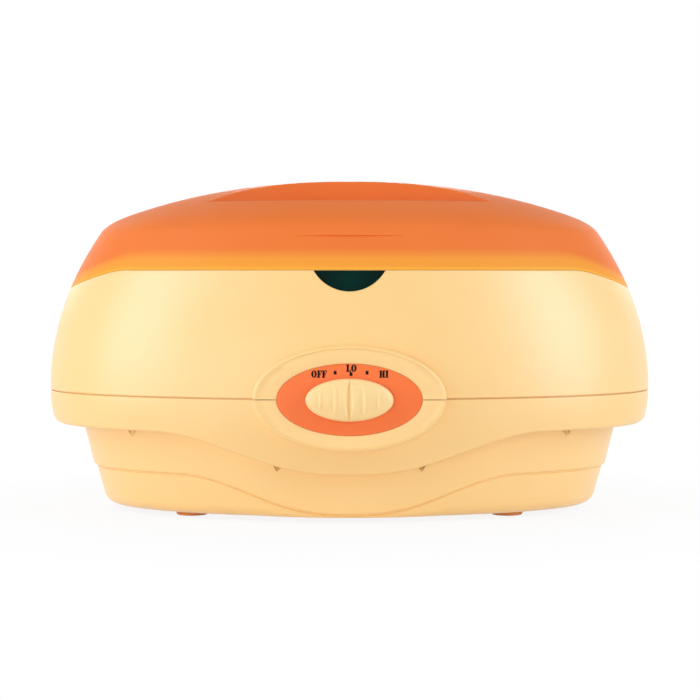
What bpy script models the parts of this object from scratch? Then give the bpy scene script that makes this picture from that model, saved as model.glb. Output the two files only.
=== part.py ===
"""Paraffin wax bath: an oval plastic casing in two halves that carries an open metal tank,
a heater under the tank, a slide control on the front and a lift-off lid with a moulded grip.

The front faces -Y, up is +Z, and the feet stand on Z = 0. Plan outlines are ellipses.
A reach is a distance forward of the centre of those ellipses, so a reach of r lies at Y = -r.
"""

import math

import bmesh
import bpy
from mathutils import Matrix, Vector

MM = 0.001

# Driving sizes of the casing, with heights taken from the underside of the base
body_width = 372 * MM
body_depth = 230 * MM
foot_height = 3.5 * MM
plinth_height = 23.9 * MM
plinth_front_height = 1.8 * MM
skirt_side_height = 20.1 * MM
skirt_front_height = 26.6 * MM
parting_height = 69 * MM
upper_height = 74 * MM
lid_height = 55.4 * MM

# Walls and clearances shared by the pieces
wall = 2.5 * MM
seat_gap = 0.3 * MM
seam_gap = 0.6 * MM
edge_round = 1.2 * MM
overrun = 6 * MM

# How finely curves are divided
plan_facets = 36
tank_facets = 28
round_facets = 12
small_facets = 8
nut_facets = 6
wire_facets = 5

# Shape of the casing
shoulder_inset = 18 * MM
wall_curve = 2.1
skirt_tuck = 2.9 * MM
ledge_width = 17.9 * MM
waist_taper = 6.8 * MM
plinth_inset = 1.8 * MM
base_round = 4 * MM
wave_reach_share = 0.61
wave_sharpness = 1.4

base_z = foot_height
plinth_z = base_z + plinth_height
parting_z = base_z + parting_height
skirt_z = parting_z - skirt_side_height
lid_edge_z = parting_z + upper_height
crown_z = lid_edge_z + lid_height
depth_share = body_depth / body_width


def wall_half_width(z):
    """Outer half width of the casing, and of the lid's side, at a height."""
    if z >= parting_z:
        share = (z - parting_z) / upper_height
        return body_width / 2 - shoulder_inset * share**wall_curve
    share = (parting_z - z) / (parting_z - skirt_z)
    return body_width / 2 - skirt_tuck * share**2


def waist_half_width(z):
    """Outer half width of the middle tier, which narrows evenly downwards."""
    share = (skirt_z - z) / (skirt_z - plinth_z)
    return wall_half_width(skirt_z) - ledge_width - waist_taper * share


def plinth_half_width(z):
    return waist_half_width(z) - plinth_inset


def dip(angle):
    """How far a tier's lower edge has dropped, from 0 at the sides to 1 at the front and back."""
    share = min(abs(math.cos(angle)) / wave_reach_share, 1)
    return 1 - ((1 - math.cos(math.pi * share)) / 2) ** wave_sharpness


def skirt_edge(angle):
    return skirt_z - dip(angle) * (skirt_z - base_z - skirt_front_height)


def plinth_edge(angle):
    return plinth_z - dip(angle) * (plinth_z - base_z - plinth_front_height)


lid_edge_drop = 11 * MM
lid_drop_start_share = 0.75
lid_drop_curve = 1.4


def lid_edge(angle):
    """Height of the lid's lower edge, which drops towards each end of the oval."""
    share = (abs(math.cos(angle)) - lid_drop_start_share) / (1 - lid_drop_start_share)
    return lid_edge_z - lid_edge_drop * max(share, 0) ** lid_drop_curve


def srgb(*channels):
    """The linear colour of 0 to 255 display values."""
    shares = [c / 255 for c in channels]
    return [s / 12.92 if s <= 0.04045 else ((s + 0.055) / 1.055) ** 2.4 for s in shares]


def material(name, colour, roughness, metallic=0.0, alpha=1.0):
    made = bpy.data.materials.new(name)
    made.use_nodes = True
    shader = made.node_tree.nodes["Principled BSDF"]
    shader.inputs["Base Color"].default_value = (*srgb(*colour), 1)
    shader.inputs["Roughness"].default_value = roughness
    shader.inputs["Metallic"].default_value = metallic
    shader.inputs["Alpha"].default_value = alpha
    return made


def make_materials():
    return {
        "casing": material("cream_plastic", (252, 208, 140), 0.42),
        "lid": material("orange_plastic", (240, 124, 62), 0.3, alpha=0.85),
        "dial": material("orange_dial", (251, 121, 71), 0.4),
        "lens": material("smoked_lens", (13, 37, 31), 0.1),
        "tank": material("anodised_aluminium", (186, 188, 190), 0.38, 1.0),
        "grille": material("cream_grille", (244, 232, 210), 0.5),
        "steel": material("zinc_steel", (176, 178, 176), 0.35, 1.0),
        "brass": material("brass", (199, 164, 92), 0.35, 1.0),
        "rubber": material("brown_rubber", (72, 50, 44), 0.8),
        "black": material("black_plastic", (30, 30, 32), 0.45),
        "fibre": material("fibre_board", (226, 220, 206), 0.95),
        "copper": material("copper", (196, 120, 84), 0.35, 1.0),
        "nylon": material("white_nylon", (232, 230, 222), 0.5),
        "silicone": material("red_silicone", (170, 60, 44), 0.6),
        "board": material("green_board", (44, 96, 62), 0.5),
        "lamp": material("lamp_glass", (220, 150, 90), 0.15),
        "live": material("brown_wire", (120, 72, 44), 0.5),
        "neutral": material("blue_wire", (52, 92, 164), 0.5),
        "earth": material("green_wire", (120, 150, 50), 0.5),
        "white_wire": material("white_wire", (225, 222, 214), 0.5),
    }


def empty(name, location=(0, 0, 0), parent=None):
    made = bpy.data.objects.new(name, None)
    bpy.context.collection.objects.link(made)
    made.location = location
    made.parent = parent
    return made


def object_from(name, bm, finish, parent, location=(0, 0, 0), smooth=True):
    bmesh.ops.recalc_face_normals(bm, faces=bm.faces)
    mesh = bpy.data.meshes.new(name)
    bm.to_mesh(mesh)
    bm.free()
    if smooth:
        mesh.shade_smooth()
        mesh.set_sharp_from_angle(angle=math.radians(35))
    made = bpy.data.objects.new(name, mesh)
    bpy.context.collection.objects.link(made)
    made.location = location
    made.parent = parent
    if finish:
        mesh.materials.append(finish)
    return made


def lofted(name, rings, finish, parent, location=(0, 0, 0), closed=False):
    """A solid whose skin joins rings of equal count, with flat ends or closed round on itself."""
    bm = bmesh.new()
    loops = [[bm.verts.new(point) for point in ring] for ring in rings]
    pairs = list(zip(loops, loops[1:]))
    if closed:
        pairs.append((loops[-1], loops[0]))
    for low, high in pairs:
        for i in range(len(low)):
            j = (i + 1) % len(low)
            bm.faces.new((low[i], low[j], high[j], high[i]))
    bmesh.ops.triangulate(bm, faces=bm.faces)
    if not closed:
        bm.faces.new(loops[0])
        bm.faces.new(loops[-1])
    return object_from(name, bm, finish, parent, location)


def boxes(name, pairs, finish, parent):
    """Separate blocks in one mesh, each given by its lowest and highest corner."""
    bm = bmesh.new()
    for low, high in pairs:
        size = Vector(high) - Vector(low)
        centre = (Vector(high) + Vector(low)) / 2
        place = Matrix.Translation(centre) @ Matrix.Diagonal((*size, 1))
        bmesh.ops.create_cube(bm, size=1, matrix=place)
    return object_from(name, bm, finish, parent)


def circle(radius, height, facets=round_facets):
    turns = [2 * math.pi * i / facets for i in range(facets)]
    return [(radius * math.cos(a), radius * math.sin(a), height) for a in turns]


def turned(name, profile, finish, parent, location=(0, 0, 0), facets=round_facets, axis="Z"):
    """A round solid from (radius, height) steps along Z, or pointing forward along -Y."""
    rings = [circle(radius, height, facets) for radius, height in profile]
    made = lofted(name, rings, finish, parent, location)
    if axis == "Y":
        made.rotation_euler = (math.pi / 2, 0, 0)
    return made


def cylinders(name, places, low, high, radius, parent, facets=round_facets):
    """Upright cylinders in one mesh, from one height to another at each (x, y)."""
    bm = bmesh.new()
    for x, y in places:
        place = Matrix.Translation((x, y, (low + high) / 2))
        bmesh.ops.create_cone(
            bm, cap_ends=True, segments=facets, radius1=radius, radius2=radius,
            depth=high - low, matrix=place,
        )
    return object_from(name, bm, None, parent)


def helper(made):
    """Marks an object as a cutter or a shape to be joined, which isn't a piece itself."""
    made.hide_render = True
    made.display_type = "WIRE"
    return made


def combine(made, other, operation):
    modifier = made.modifiers.new(other.name, "BOOLEAN")
    modifier.object = helper(other)
    modifier.operation = operation
    modifier.solver = "EXACT"


def cut(made, *others):
    for other in others:
        combine(made, other, "DIFFERENCE")


def join(made, *others):
    for other in others:
        combine(made, other, "UNION")


def plan_angles(facets=plan_facets):
    return [2 * math.pi * i / facets for i in range(facets)]


def plan_ring(half_width, height, inset=0.0, facets=plan_facets):
    """A ring of the casing's oval: half_width and height are functions of the plan angle."""
    ring = []
    for angle in plan_angles(facets):
        z = height(angle)
        wide = half_width(z)
        x = (wide - inset) * math.cos(angle)
        y = (wide * depth_share - inset) * math.sin(angle)
        ring.append((x, y, z))
    return ring


def level(value):
    """A height, or a half width, that is the same all round."""
    return lambda _: value


def oval(half_width, half_depth, z, facets=plan_facets):
    turns = plan_angles(facets)
    return [(half_width * math.cos(a), half_depth * math.sin(a), z) for a in turns]


# Lid and the collar that it drops over
lid_wall = 2.5 * MM
lid_clearance = 1.2 * MM
collar_height = 8.6 * MM
tank_seat_width = 8 * MM
collar_inset = lid_wall + lid_clearance
collar_z = lid_edge_z + collar_height
seat_inset = collar_inset + tank_seat_width

# Control panel: a raised oval, the dial plate let into it and the slide knob
control_rise = 0.8 * MM
boss_half_width = 55 * MM
boss_half_height = 29.5 * MM
boss_proud = 2.6 * MM
boss_round = 1.2 * MM
control_z = parting_z + control_rise
wall_reach = wall_half_width(parting_z) * depth_share
face_reach = wall_reach + boss_proud
boss_back_reach = (wall_reach - wall) * math.sqrt(1 - (2 * boss_half_width / body_width) ** 2)


def panel_ring(half_width, half_height, reach, facets=plan_facets):
    """An upright oval round the control's centre, at a reach."""
    ring = []
    for angle in plan_angles(facets):
        x = half_width * math.cos(angle)
        z = control_z + half_height * math.sin(angle)
        ring.append((x, -reach, z))
    return ring


def panel_loft(name, steps, finish, parent, facets=plan_facets):
    """A solid of upright ovals from (half width, half height, reach) steps."""
    return lofted(name, [panel_ring(*step, facets) for step in steps], finish, parent)


def block(name, half_width, reaches, heights, finish, parent, centre=0.0):
    """A block that spans two reaches and two heights, with its middle at x = centre."""
    low = (centre - half_width, -max(reaches), min(heights))
    high = (centre + half_width, -min(reaches), max(heights))
    return boxes(name, [(low, high)], finish, parent)


def make_boss(name, parent):
    steps = [
        (boss_half_width, boss_half_height, boss_back_reach),
        (boss_half_width, boss_half_height, face_reach - boss_round),
        (boss_half_width - boss_round, boss_half_height - boss_round, face_reach),
    ]
    return panel_loft(name, steps, None, parent)


# Dial plate, held by its flange in a groove inside the raised oval
dial_half_width = 41.5 * MM
dial_half_height = 20.5 * MM
dial_recess = 0.4 * MM
dial_face_thickness = 1.5 * MM
dial_flange_thickness = 1.5 * MM
dial_flange_width = 2 * MM
dial_reach = face_reach - dial_recess
dial_flange_reach = dial_reach - dial_face_thickness
dial_back_reach = dial_flange_reach - dial_flange_thickness


def make_dial_opening(name, parent):
    """The stepped hole that holds the dial plate by its flange."""
    narrow = (dial_half_width + seat_gap, dial_half_height + seat_gap)
    flange = dial_flange_width + seat_gap
    broad = (dial_half_width + flange, dial_half_height + flange)
    front = dial_flange_reach + seat_gap
    back = dial_back_reach - seat_gap
    steps = [
        (*narrow, boss_back_reach - overrun), (*narrow, back), (*broad, back),
        (*broad, front), (*narrow, front), (*narrow, face_reach + overrun),
    ]
    return panel_loft(name, steps, None, parent, tank_facets)


def half_boss(name, upper, parent):
    """The part of the raised oval that belongs to the upper or the lower half."""
    boss = make_boss(name, parent)
    edge = parting_z + (seam_gap / 2 if upper else -seam_gap / 2)
    far = control_z - (1 if upper else -1) * (boss_half_height + overrun)
    waste = block(
        name + "_waste", boss_half_width + overrun,
        (boss_back_reach - overrun, face_reach + overrun), (edge, far), None, parent,
    )
    cut(boss, waste)
    return boss


# Screws that hold the casing together, in wells that graze the middle tier's wall
screw_place_shares = (0.694, 0.226)
screw_head_radius = 3.0 * MM
screw_head_height = 2.2 * MM
screw_shank_radius = 1.5 * MM
screw_shank_length = 16 * MM
well_clearance = 0.6 * MM
well_bite = 0.9 * MM
well_depth = 2 * MM
pad_radius = 4.8 * MM
pad_rise = 6.5 * MM
pad_sink = 0.35 * MM
post_radius = 3.4 * MM
post_top_rise = 25 * MM
web_half_thickness = 1.3 * MM
web_bury = 0.6 * MM
tongue_height = 3 * MM
tongue_root = 2 * MM
tongue_wall = 1.5 * MM
web_clearance = 1 * MM
tongue_waste_margin = 1.8 * MM
tongue_waste_depth = 12.9 * MM


def screw_places():
    """Name, x, y and ledge height of each casing screw."""
    places = []
    for place, share in zip(("outer", "inner"), screw_place_shares):
        x = share * body_width / 2
        waist = waist_half_width(skirt_edge(math.acos(share)))
        y = depth_share * math.sqrt(waist**2 - x**2)
        y += screw_head_radius + well_clearance - well_bite
        edge = skirt_edge(math.atan2(y / depth_share, x))
        for end, end_sign in (("front", -1), ("rear", 1)):
            for side, side_sign in (("left", -1), ("right", 1)):
                places.append((f"{end}_{side}_{place}", side_sign * x, end_sign * y, edge))
    return places


def post_places():
    """The screws that reach the upper half: the front inner pair holds the control bracket."""
    return [p for p in screw_places() if not (p[0].startswith("front") and p[0].endswith("inner"))]


def make_post(name, x, y, edge, parent):
    """A screw post that stands off the upper half's wall on a web."""
    top = parting_z + post_top_rise
    low = edge + pad_rise + seat_gap
    post = cylinders(name, [(x, y)], low, top, post_radius, parent, small_facets)
    end = depth_share * math.sqrt(wall_half_width(top) ** 2 - x**2) - web_bury
    near, far = sorted((y, math.copysign(end, y)))
    web_low = parting_z + tongue_height + web_clearance
    low_corner = (x - web_half_thickness, near, web_low)
    high_corner = (x + web_half_thickness, far, top - pad_sink)
    web = boxes(name + "_web", [(low_corner, high_corner)], None, parent)
    join(post, web)
    return post


def make_lower_housing(finish, root):
    """The tiered tub: each tier's lower edge sweeps down at the front and the back."""
    low_seam = parting_z - seam_gap / 2
    shelf = tongue_wall + seat_gap + wall
    floor = base_z + wall
    ring = plan_ring

    def over(edge, rise=0.0):
        return lambda angle: edge(angle) + rise

    def between(edge, share):
        return lambda angle: edge(angle) + share * (low_seam - edge(angle))

    def corner(angle):
        return min(base_round, (plinth_edge(angle) - base_z) / 2)

    def base_ring():
        points = []
        for angle in plan_angles():
            wide = plinth_half_width(base_z) - corner(angle)
            deep = plinth_half_width(base_z) * depth_share - corner(angle)
            points.append((wide * math.cos(angle), deep * math.sin(angle), base_z))
        return points

    rings = [
        ring(plinth_half_width, level(floor), wall),
        ring(plinth_half_width, over(plinth_edge, wall), wall),
        ring(waist_half_width, over(plinth_edge, wall + edge_round), wall),
        ring(waist_half_width, over(skirt_edge, wall), wall),
        ring(wall_half_width, over(skirt_edge, wall + edge_round), wall),
        ring(wall_half_width, level(low_seam - tongue_height - tongue_root), wall),
        ring(wall_half_width, level(low_seam - tongue_height), shelf),
        ring(wall_half_width, level(low_seam + tongue_height), shelf),
        ring(wall_half_width, level(low_seam + tongue_height), wall + seat_gap),
        ring(wall_half_width, level(low_seam), wall + seat_gap),
        ring(wall_half_width, level(low_seam)),
        ring(wall_half_width, between(skirt_edge, 2 / 3)),
        ring(wall_half_width, between(skirt_edge, 1 / 3)),
        ring(wall_half_width, over(skirt_edge, edge_round)),
        ring(wall_half_width, skirt_edge, edge_round),
        ring(waist_half_width, skirt_edge),
        ring(waist_half_width, over(plinth_edge, edge_round)),
        ring(waist_half_width, plinth_edge, edge_round / 2),
        ring(plinth_half_width, over(plinth_edge, -seat_gap)),
        ring(plinth_half_width, lambda angle: base_z + corner(angle)),
        base_ring(),
    ]
    made = lofted("lower_housing", rings, finish, root)
    places = screw_places()
    for name, x, y, edge in places:
        pad = cylinders(
            name + "_pad", [(x, y)], edge + pad_sink, edge + pad_rise, pad_radius, root,
            small_facets,
        )
        join(made, pad)
    join(made, half_boss("lower_boss", False, root), make_inlet_land("inlet_land", root))
    cut(made, make_dial_opening("lower_dial_opening", root))
    tongue_waste = block(
        "tongue_waste", boss_half_width + tongue_waste_margin,
        (wall_reach - tongue_waste_depth, face_reach),
        (low_seam + seat_gap / 2, low_seam + tongue_height + overrun), None, root,
    )
    cut(made, tongue_waste)
    broad, narrow = screw_head_radius + well_clearance, screw_shank_radius + seat_gap
    for name, x, y, edge in places:
        seat = edge + well_depth
        profile = [(broad, base_z), (broad, seat), (narrow, seat), (narrow, seat + pad_rise)]
        cut(made, turned(name + "_well", profile, None, root, (x, y, 0)))
    stems = cylinders(
        "foot_holes", foot_places(), base_z - overrun, floor + overrun,
        foot_stem_radius + seat_gap, root, small_facets,
    )
    cut(made, stems, *make_inlet_openings(root))
    return made


def make_upper_housing(finish, root):
    """A deep oval band with a collar for the lid and a ledge that carries the tank."""
    high_seam = parting_z + seam_gap / 2
    ring = plan_ring

    def up(share, drop=0.0):
        return lambda angle: high_seam + share * (lid_edge(angle) - drop - high_seam)

    collar_width = level(wall_half_width(collar_z))
    rise_shares = (0, 0.25, 0.5, 0.75)
    rings = [ring(wall_half_width, up(share)) for share in rise_shares]
    rings += [
        ring(wall_half_width, up(1, edge_round)),
        ring(wall_half_width, up(1), edge_round),
        ring(wall_half_width, up(1), collar_inset),
        ring(collar_width, level(collar_z), collar_inset),
        ring(collar_width, level(collar_z), seat_inset),
        ring(collar_width, level(collar_z - wall), seat_inset),
        ring(collar_width, level(collar_z - wall), collar_inset + wall),
        ring(wall_half_width, up(1, wall), collar_inset + wall),
        ring(wall_half_width, up(1, wall + edge_round), wall),
    ]
    rings += [ring(wall_half_width, up(share, wall), wall) for share in reversed(rise_shares)]
    made = lofted("upper_housing", rings, finish, root, closed=True)
    for name, x, y, edge in post_places():
        join(made, make_post(name + "_post", x, y, edge, root))
    join(made, half_boss("upper_boss", True, root), *make_board_pegs(root))
    cut(made, make_dial_opening("upper_dial_opening", root))
    for name, x, y, edge in post_places():
        pilot = cylinders(
            name + "_pilot", [(x, y)], edge, edge + well_depth + screw_shank_length + seat_gap,
            screw_shank_radius + seat_gap, root, small_facets,
        )
        cut(made, pilot)
    cut(made, make_lens_prism("lens_opening", 0.0, collar_lens_reach, root))
    return made


def make_casing_screws(finish, root):
    for name, x, y, edge in screw_places():
        seat = edge + well_depth - seat_gap
        profile = [
            (screw_head_radius, seat - screw_head_height), (screw_head_radius, seat),
            (screw_shank_radius, seat), (screw_shank_radius, seat + screw_shank_length),
        ]
        turned("casing_screw_" + name, profile, finish, root, (x, y, 0), small_facets)


# Rubber feet, pressed into holes in the base
foot_place_shares = (0.646, 0.517)
foot_radius = 9.5 * MM
foot_edge = 1 * MM
foot_stem_radius = 3 * MM
foot_stem_height = 5.2 * MM


def foot_places():
    wide, deep = (share * plinth_half_width(base_z) for share in foot_place_shares)
    return [(x * wide, y * deep * depth_share) for x in (-1, 1) for y in (-1, 1)]


def make_feet(finish, root):
    names = ("left_front", "left_rear", "right_front", "right_rear")
    top = base_z - seat_gap
    profile = [
        (foot_radius - foot_edge, 0), (foot_radius, foot_edge), (foot_radius, top),
        (foot_stem_radius, top), (foot_stem_radius, base_z + foot_stem_height),
    ]
    for name, (x, y) in zip(names, foot_places()):
        turned("foot_" + name, profile, finish, root, (x, y, 0))


# Half-moon window under the lid's edge, and the lamps behind it
lens_radius = 25.7 * MM
lens_height = 10.3 * MM
lens_thickness = 3.4 * MM
lens_inset = 0.2 * MM
board_half_width = 30 * MM
board_height = 14 * MM
board_thickness = 1.5 * MM
board_clearance = 11.5 * MM
peg_radius = 1.5 * MM
peg_spread = 26 * MM
peg_length = 3 * MM
lamp_radius = 2.5 * MM
lamp_length = 6 * MM
lamp_spread = 8 * MM
lamp_rim_share = 1.15
lamp_rim_height_share = 0.17
lamp_straight_share = 0.6
lamp_dome_shares = ((0.8, 0.85), (0.35, 1))
lens_low_z = lid_edge_z - lens_height
lens_mid_z = lid_edge_z - lens_height / 2
collar_lens_reach = wall_half_width(lid_edge_z) * depth_share - collar_inset + seat_gap
board_reach = wall_half_width(lens_mid_z) * depth_share - wall - board_clearance
board_low_z = lens_mid_z - board_height / 2


def make_lens_prism(name, inset, back_reach, parent):
    """An upright prism with a flat top and a round lower edge, inset all round."""
    radius = lens_radius - inset
    centre = lens_low_z + lens_radius
    top = lid_edge_z - inset if inset else lid_edge_z + seam_gap
    half = math.acos((centre - top) / radius)
    outline = []
    for i in range(small_facets + 1):
        angle = half * (1 - 2 * i / small_facets)
        outline.append((radius * math.sin(angle), centre - radius * math.cos(angle)))
    reaches = (back_reach, face_reach)
    rings = [[(x, -reach, z) for x, z in outline] for reach in reaches]
    return lofted(name, rings, None, parent)


def make_lens(finish, root):
    """The window: the slice of the casing's wall that lies inside the prism."""
    top = lid_edge_z - seat_gap
    low = lens_low_z - overrun
    steps = [(low, lens_inset), (top, lens_inset), (top, lens_thickness), (low, lens_thickness)]
    rings = [plan_ring(wall_half_width, level(z), inset) for z, inset in steps]
    made = lofted("indicator_lens", rings, finish, root, closed=True)
    prism = make_lens_prism("lens_prism", seat_gap, collar_lens_reach + seat_gap, root)
    combine(made, prism, "INTERSECT")


def make_board_pegs(root):
    """Pegs on the upper half's wall that hold the lamp board."""
    pegs = []
    wall_z = wall_half_width(lens_mid_z) * depth_share - wall / 2
    start = wall_z * math.sqrt(1 - (2 * peg_spread / body_width) ** 2) - web_bury
    shoulder = board_reach + board_thickness + seat_gap
    end = board_reach - peg_length
    for side in (-1, 1):
        profile = [
            (2 * peg_radius, start), (2 * peg_radius, shoulder),
            (peg_radius, shoulder), (peg_radius, end),
        ]
        peg = turned(
            f"board_peg_{side}", profile, None, root,
            (side * peg_spread, 0, lens_mid_z), small_facets, "Y",
        )
        pegs.append(peg)
    return pegs


def make_lamps(finishes, root):
    board = block(
        "lamp_board", board_half_width, (board_reach, board_reach + board_thickness),
        (board_low_z, board_low_z + board_height), finishes["board"], root,
    )
    for side in (-1, 1):
        radius = peg_radius + seat_gap
        hole = turned(
            f"board_hole_{side}", [(radius, board_reach - overrun), (radius, board_reach + overrun)],
            None, root, (side * peg_spread, 0, lens_mid_z), small_facets, "Y",
        )
        cut(board, hole)
    start = board_reach + board_thickness + seat_gap
    rim = lamp_radius * lamp_rim_share
    rim_end = start + lamp_length * lamp_rim_height_share
    profile = [
        (rim, start), (rim, rim_end), (lamp_radius, rim_end),
        (lamp_radius, start + lamp_length * lamp_straight_share),
    ]
    profile += [(lamp_radius * r, start + lamp_length * rise) for r, rise in lamp_dome_shares]
    for name, side in (("heating_lamp", -1), ("ready_lamp", 1)):
        turned(
            name, profile, finishes["lamp"], root, (side * lamp_spread, 0, lens_mid_z),
            round_facets, "Y",
        )


# Power inlet on a flat land at the back of the lower half
inlet_drop = 21.5 * MM
inlet_flange_half_width = 25 * MM
inlet_flange_half_height = 11.3 * MM
inlet_flange_thickness = 3 * MM
inlet_body_half_width = 13.5 * MM
inlet_body_half_height = 9.8 * MM
inlet_depth = 18 * MM
socket_half_width = 12.1 * MM
socket_half_height = 8.1 * MM
socket_depth = 15.5 * MM
land_margin = 2 * MM
land_proud = 0.8 * MM
land_thickness = 8.5 * MM
inlet_screw_spread = 20 * MM
inlet_screw_radius = 1.5 * MM
inlet_screw_head_radius = 2.8 * MM
inlet_screw_head_height = 1.8 * MM
inlet_screw_length = 8 * MM
pin_half_width = 1 * MM
pin_half_height = 2 * MM
pin_spread = 7 * MM
pin_drop = 1.5 * MM
earth_pin_rise = 4 * MM
pin_length = 13 * MM
pin_tab_length = 8 * MM
inlet_z = parting_z - inlet_drop
land_reach = wall_reach + land_proud
flange_back_reach = land_reach + seat_gap
inlet_face_reach = flange_back_reach + inlet_flange_thickness
inlet_back_reach = inlet_face_reach - inlet_depth
rear_reach = inlet_face_reach + seat_gap + inlet_screw_head_height


def back_block(name, half_width, reaches, heights, finish, parent, centre=0.0):
    """A block like the front ones, but behind the centre."""
    low = (centre - half_width, min(reaches), min(heights))
    high = (centre + half_width, max(reaches), max(heights))
    return boxes(name, [(low, high)], finish, parent)


def around_inlet(half_height):
    return (inlet_z - half_height, inlet_z + half_height)


def make_inlet_land(name, root):
    return back_block(
        name, inlet_flange_half_width + land_margin, (land_reach - land_thickness, land_reach),
        around_inlet(inlet_flange_half_height + land_margin), None, root,
    )


def inlet_screw_tool(name, side, radius, start, end, root):
    return turned(
        name, [(radius, -start), (radius, -end)], None, root,
        (side * inlet_screw_spread, 0, inlet_z), small_facets, "Y",
    )


def make_inlet_openings(root):
    opening = back_block(
        "inlet_opening", inlet_body_half_width + seat_gap,
        (land_reach - land_thickness - overrun, land_reach + overrun),
        around_inlet(inlet_body_half_height + seat_gap), None, root,
    )
    holes = [
        inlet_screw_tool(
            f"inlet_land_hole_{side}", side, inlet_screw_radius + seat_gap,
            land_reach - inlet_screw_length, land_reach + overrun, root,
        )
        for side in (-1, 1)
    ]
    return [opening, *holes]


def pin_places():
    low = inlet_z - pin_drop
    return (
        ("inlet_pin_neutral", -pin_spread, low),
        ("inlet_pin_earth", 0.0, low + earth_pin_rise),
        ("inlet_pin_live", pin_spread, low),
    )


def make_inlet(finishes, root):
    made = back_block(
        "power_inlet", inlet_flange_half_width, (flange_back_reach, inlet_face_reach),
        around_inlet(inlet_flange_half_height), finishes["black"], root,
    )
    barrel = back_block(
        "inlet_barrel", inlet_body_half_width, (inlet_back_reach, inlet_face_reach - seat_gap),
        around_inlet(inlet_body_half_height), None, root,
    )
    socket = back_block(
        "inlet_socket", socket_half_width,
        (inlet_face_reach - socket_depth, inlet_face_reach + overrun),
        around_inlet(socket_half_height), None, root,
    )
    join(made, barrel)
    cut(made, socket)
    tip = inlet_back_reach + pin_length
    tab = inlet_back_reach - pin_tab_length
    for name, x, z in pin_places():
        hole = back_block(
            name + "_hole", pin_half_width + seat_gap, (tab, tip),
            (z - pin_half_height - seat_gap, z + pin_half_height + seat_gap), None, root, x,
        )
        cut(made, hole)
        back_block(
            name, pin_half_width, (tab, tip), (z - pin_half_height, z + pin_half_height),
            finishes["brass"], root, x,
        )
    for name, side in (("inlet_screw_left", -1), ("inlet_screw_right", 1)):
        hole = inlet_screw_tool(
            name + "_hole", side, inlet_screw_radius + seat_gap,
            flange_back_reach - overrun, inlet_face_reach + overrun, root,
        )
        cut(made, hole)
        seat = inlet_face_reach + seat_gap
        profile = [
            (inlet_screw_head_radius, seat + inlet_screw_head_height),
            (inlet_screw_head_radius, seat), (inlet_screw_radius, seat),
            (inlet_screw_radius, land_reach + seat_gap - inlet_screw_length),
        ]
        turned(
            name, [(radius, -reach) for radius, reach in profile], finishes["steel"], root,
            (side * inlet_screw_spread, 0, inlet_z), small_facets, "Y",
        )


# Slide control: the knob, its carriage with a rack, and the pinion on the thermostat
knob_half_width = 25 * MM
knob_half_height = 12.2 * MM
knob_lift = 0.4 * MM
knob_side = 1.6 * MM
knob_dome = 5.4 * MM
rib_half_width = 0.8 * MM
rib_proud = 0.9 * MM
rib_spacing = 8.2 * MM
rib_half_length_shares = (0.36, 0.63, 0.86, 0.63, 0.36)
dome_step_shares = (0.97, 0.9, 0.78, 0.62, 0.42, 0.2)
knob_travel = 17.5 * MM
stem_half_width = 4 * MM
stem_half_height = 2 * MM
slot_clearance = 0.5 * MM
shutter_half_width = 40 * MM
shutter_half_height = 9 * MM
shutter_thickness = 1.5 * MM
shutter_depth = 13.7 * MM
rail_clearance = 0.4 * MM
hook_thickness = 1.8 * MM
hook_spread = 34 * MM
hook_length = 14 * MM
lip_thickness = 1.5 * MM
lip_width = 1.8 * MM
lip_relief = 0.1 * MM
knob_reach = face_reach + knob_lift
knob_side_reach = knob_reach + knob_side
front_reach = knob_side_reach + knob_dome + rib_proud
shutter_reach = dial_back_reach - shutter_depth + shutter_thickness + seat_gap

gear_module = 1.5 * MM
gear_teeth = 12
pitch_radius = gear_module * gear_teeth / 2
tooth_backlash = 0.3 * MM
pinion_addendum = 1.2 * MM
pinion_dedendum = 1.3 * MM
rack_addendum = 1 * MM
rack_dedendum = 1.5 * MM
rack_back = 2.2 * MM
rack_teeth_a_side = 6
gear_width = 4.4 * MM
pressure_angle = math.radians(20)
lip_tip_height = shutter_half_height + rail_clearance - lip_width
rack_low_z = control_z - lip_tip_height + rail_clearance
rack_pitch_z = rack_low_z + rack_back + rack_dedendum
spindle_z = rack_pitch_z + pitch_radius
shutter_back_reach = shutter_reach - shutter_thickness
pinion_front_reach = shutter_back_reach - seat_gap
pinion_back_reach = pinion_front_reach - gear_width


def dome_reach(x, z):
    share = (x / knob_half_width) ** 2 + ((z - control_z) / knob_half_height) ** 2
    return knob_side_reach + knob_dome * math.sqrt(max(1 - share, 0))


def make_knob_rib(name, x, half_length, root):
    """A finger rib that follows the knob's dome and fades out at both ends."""
    rings = []
    for i in range(small_facets + 1):
        share = 2 * i / small_facets - 1
        z = control_z + share * half_length
        front = dome_reach(x, z) + rib_proud * (1 - share**4)
        back = knob_reach + knob_side / 2
        corners = ((-1, back), (-1, front), (1, front), (1, back))
        rings.append([(x + side * rib_half_width, -reach, z) for side, reach in corners])
    return lofted(name, rings, None, root)


def make_knob(finish, root):
    steps = [(knob_half_width, knob_half_height, knob_reach)]
    steps.append((knob_half_width, knob_half_height, knob_side_reach))
    for share in dome_step_shares:
        reach = knob_side_reach + knob_dome * math.sqrt(1 - share**2)
        steps.append((knob_half_width * share, knob_half_height * share, reach))
    made = panel_loft("control_knob", steps, finish, root, tank_facets)
    middle = (len(rib_half_length_shares) - 1) / 2
    for i, share in enumerate(rib_half_length_shares):
        x = (i - middle) * rib_spacing
        join(made, make_knob_rib(f"knob_rib_{i}", x, share * knob_half_height, root))
    stem = block(
        "knob_stem", stem_half_width, (shutter_reach + seat_gap, knob_reach + knob_side / 2),
        (control_z - stem_half_height, control_z + stem_half_height), None, root,
    )
    join(made, stem)


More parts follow.
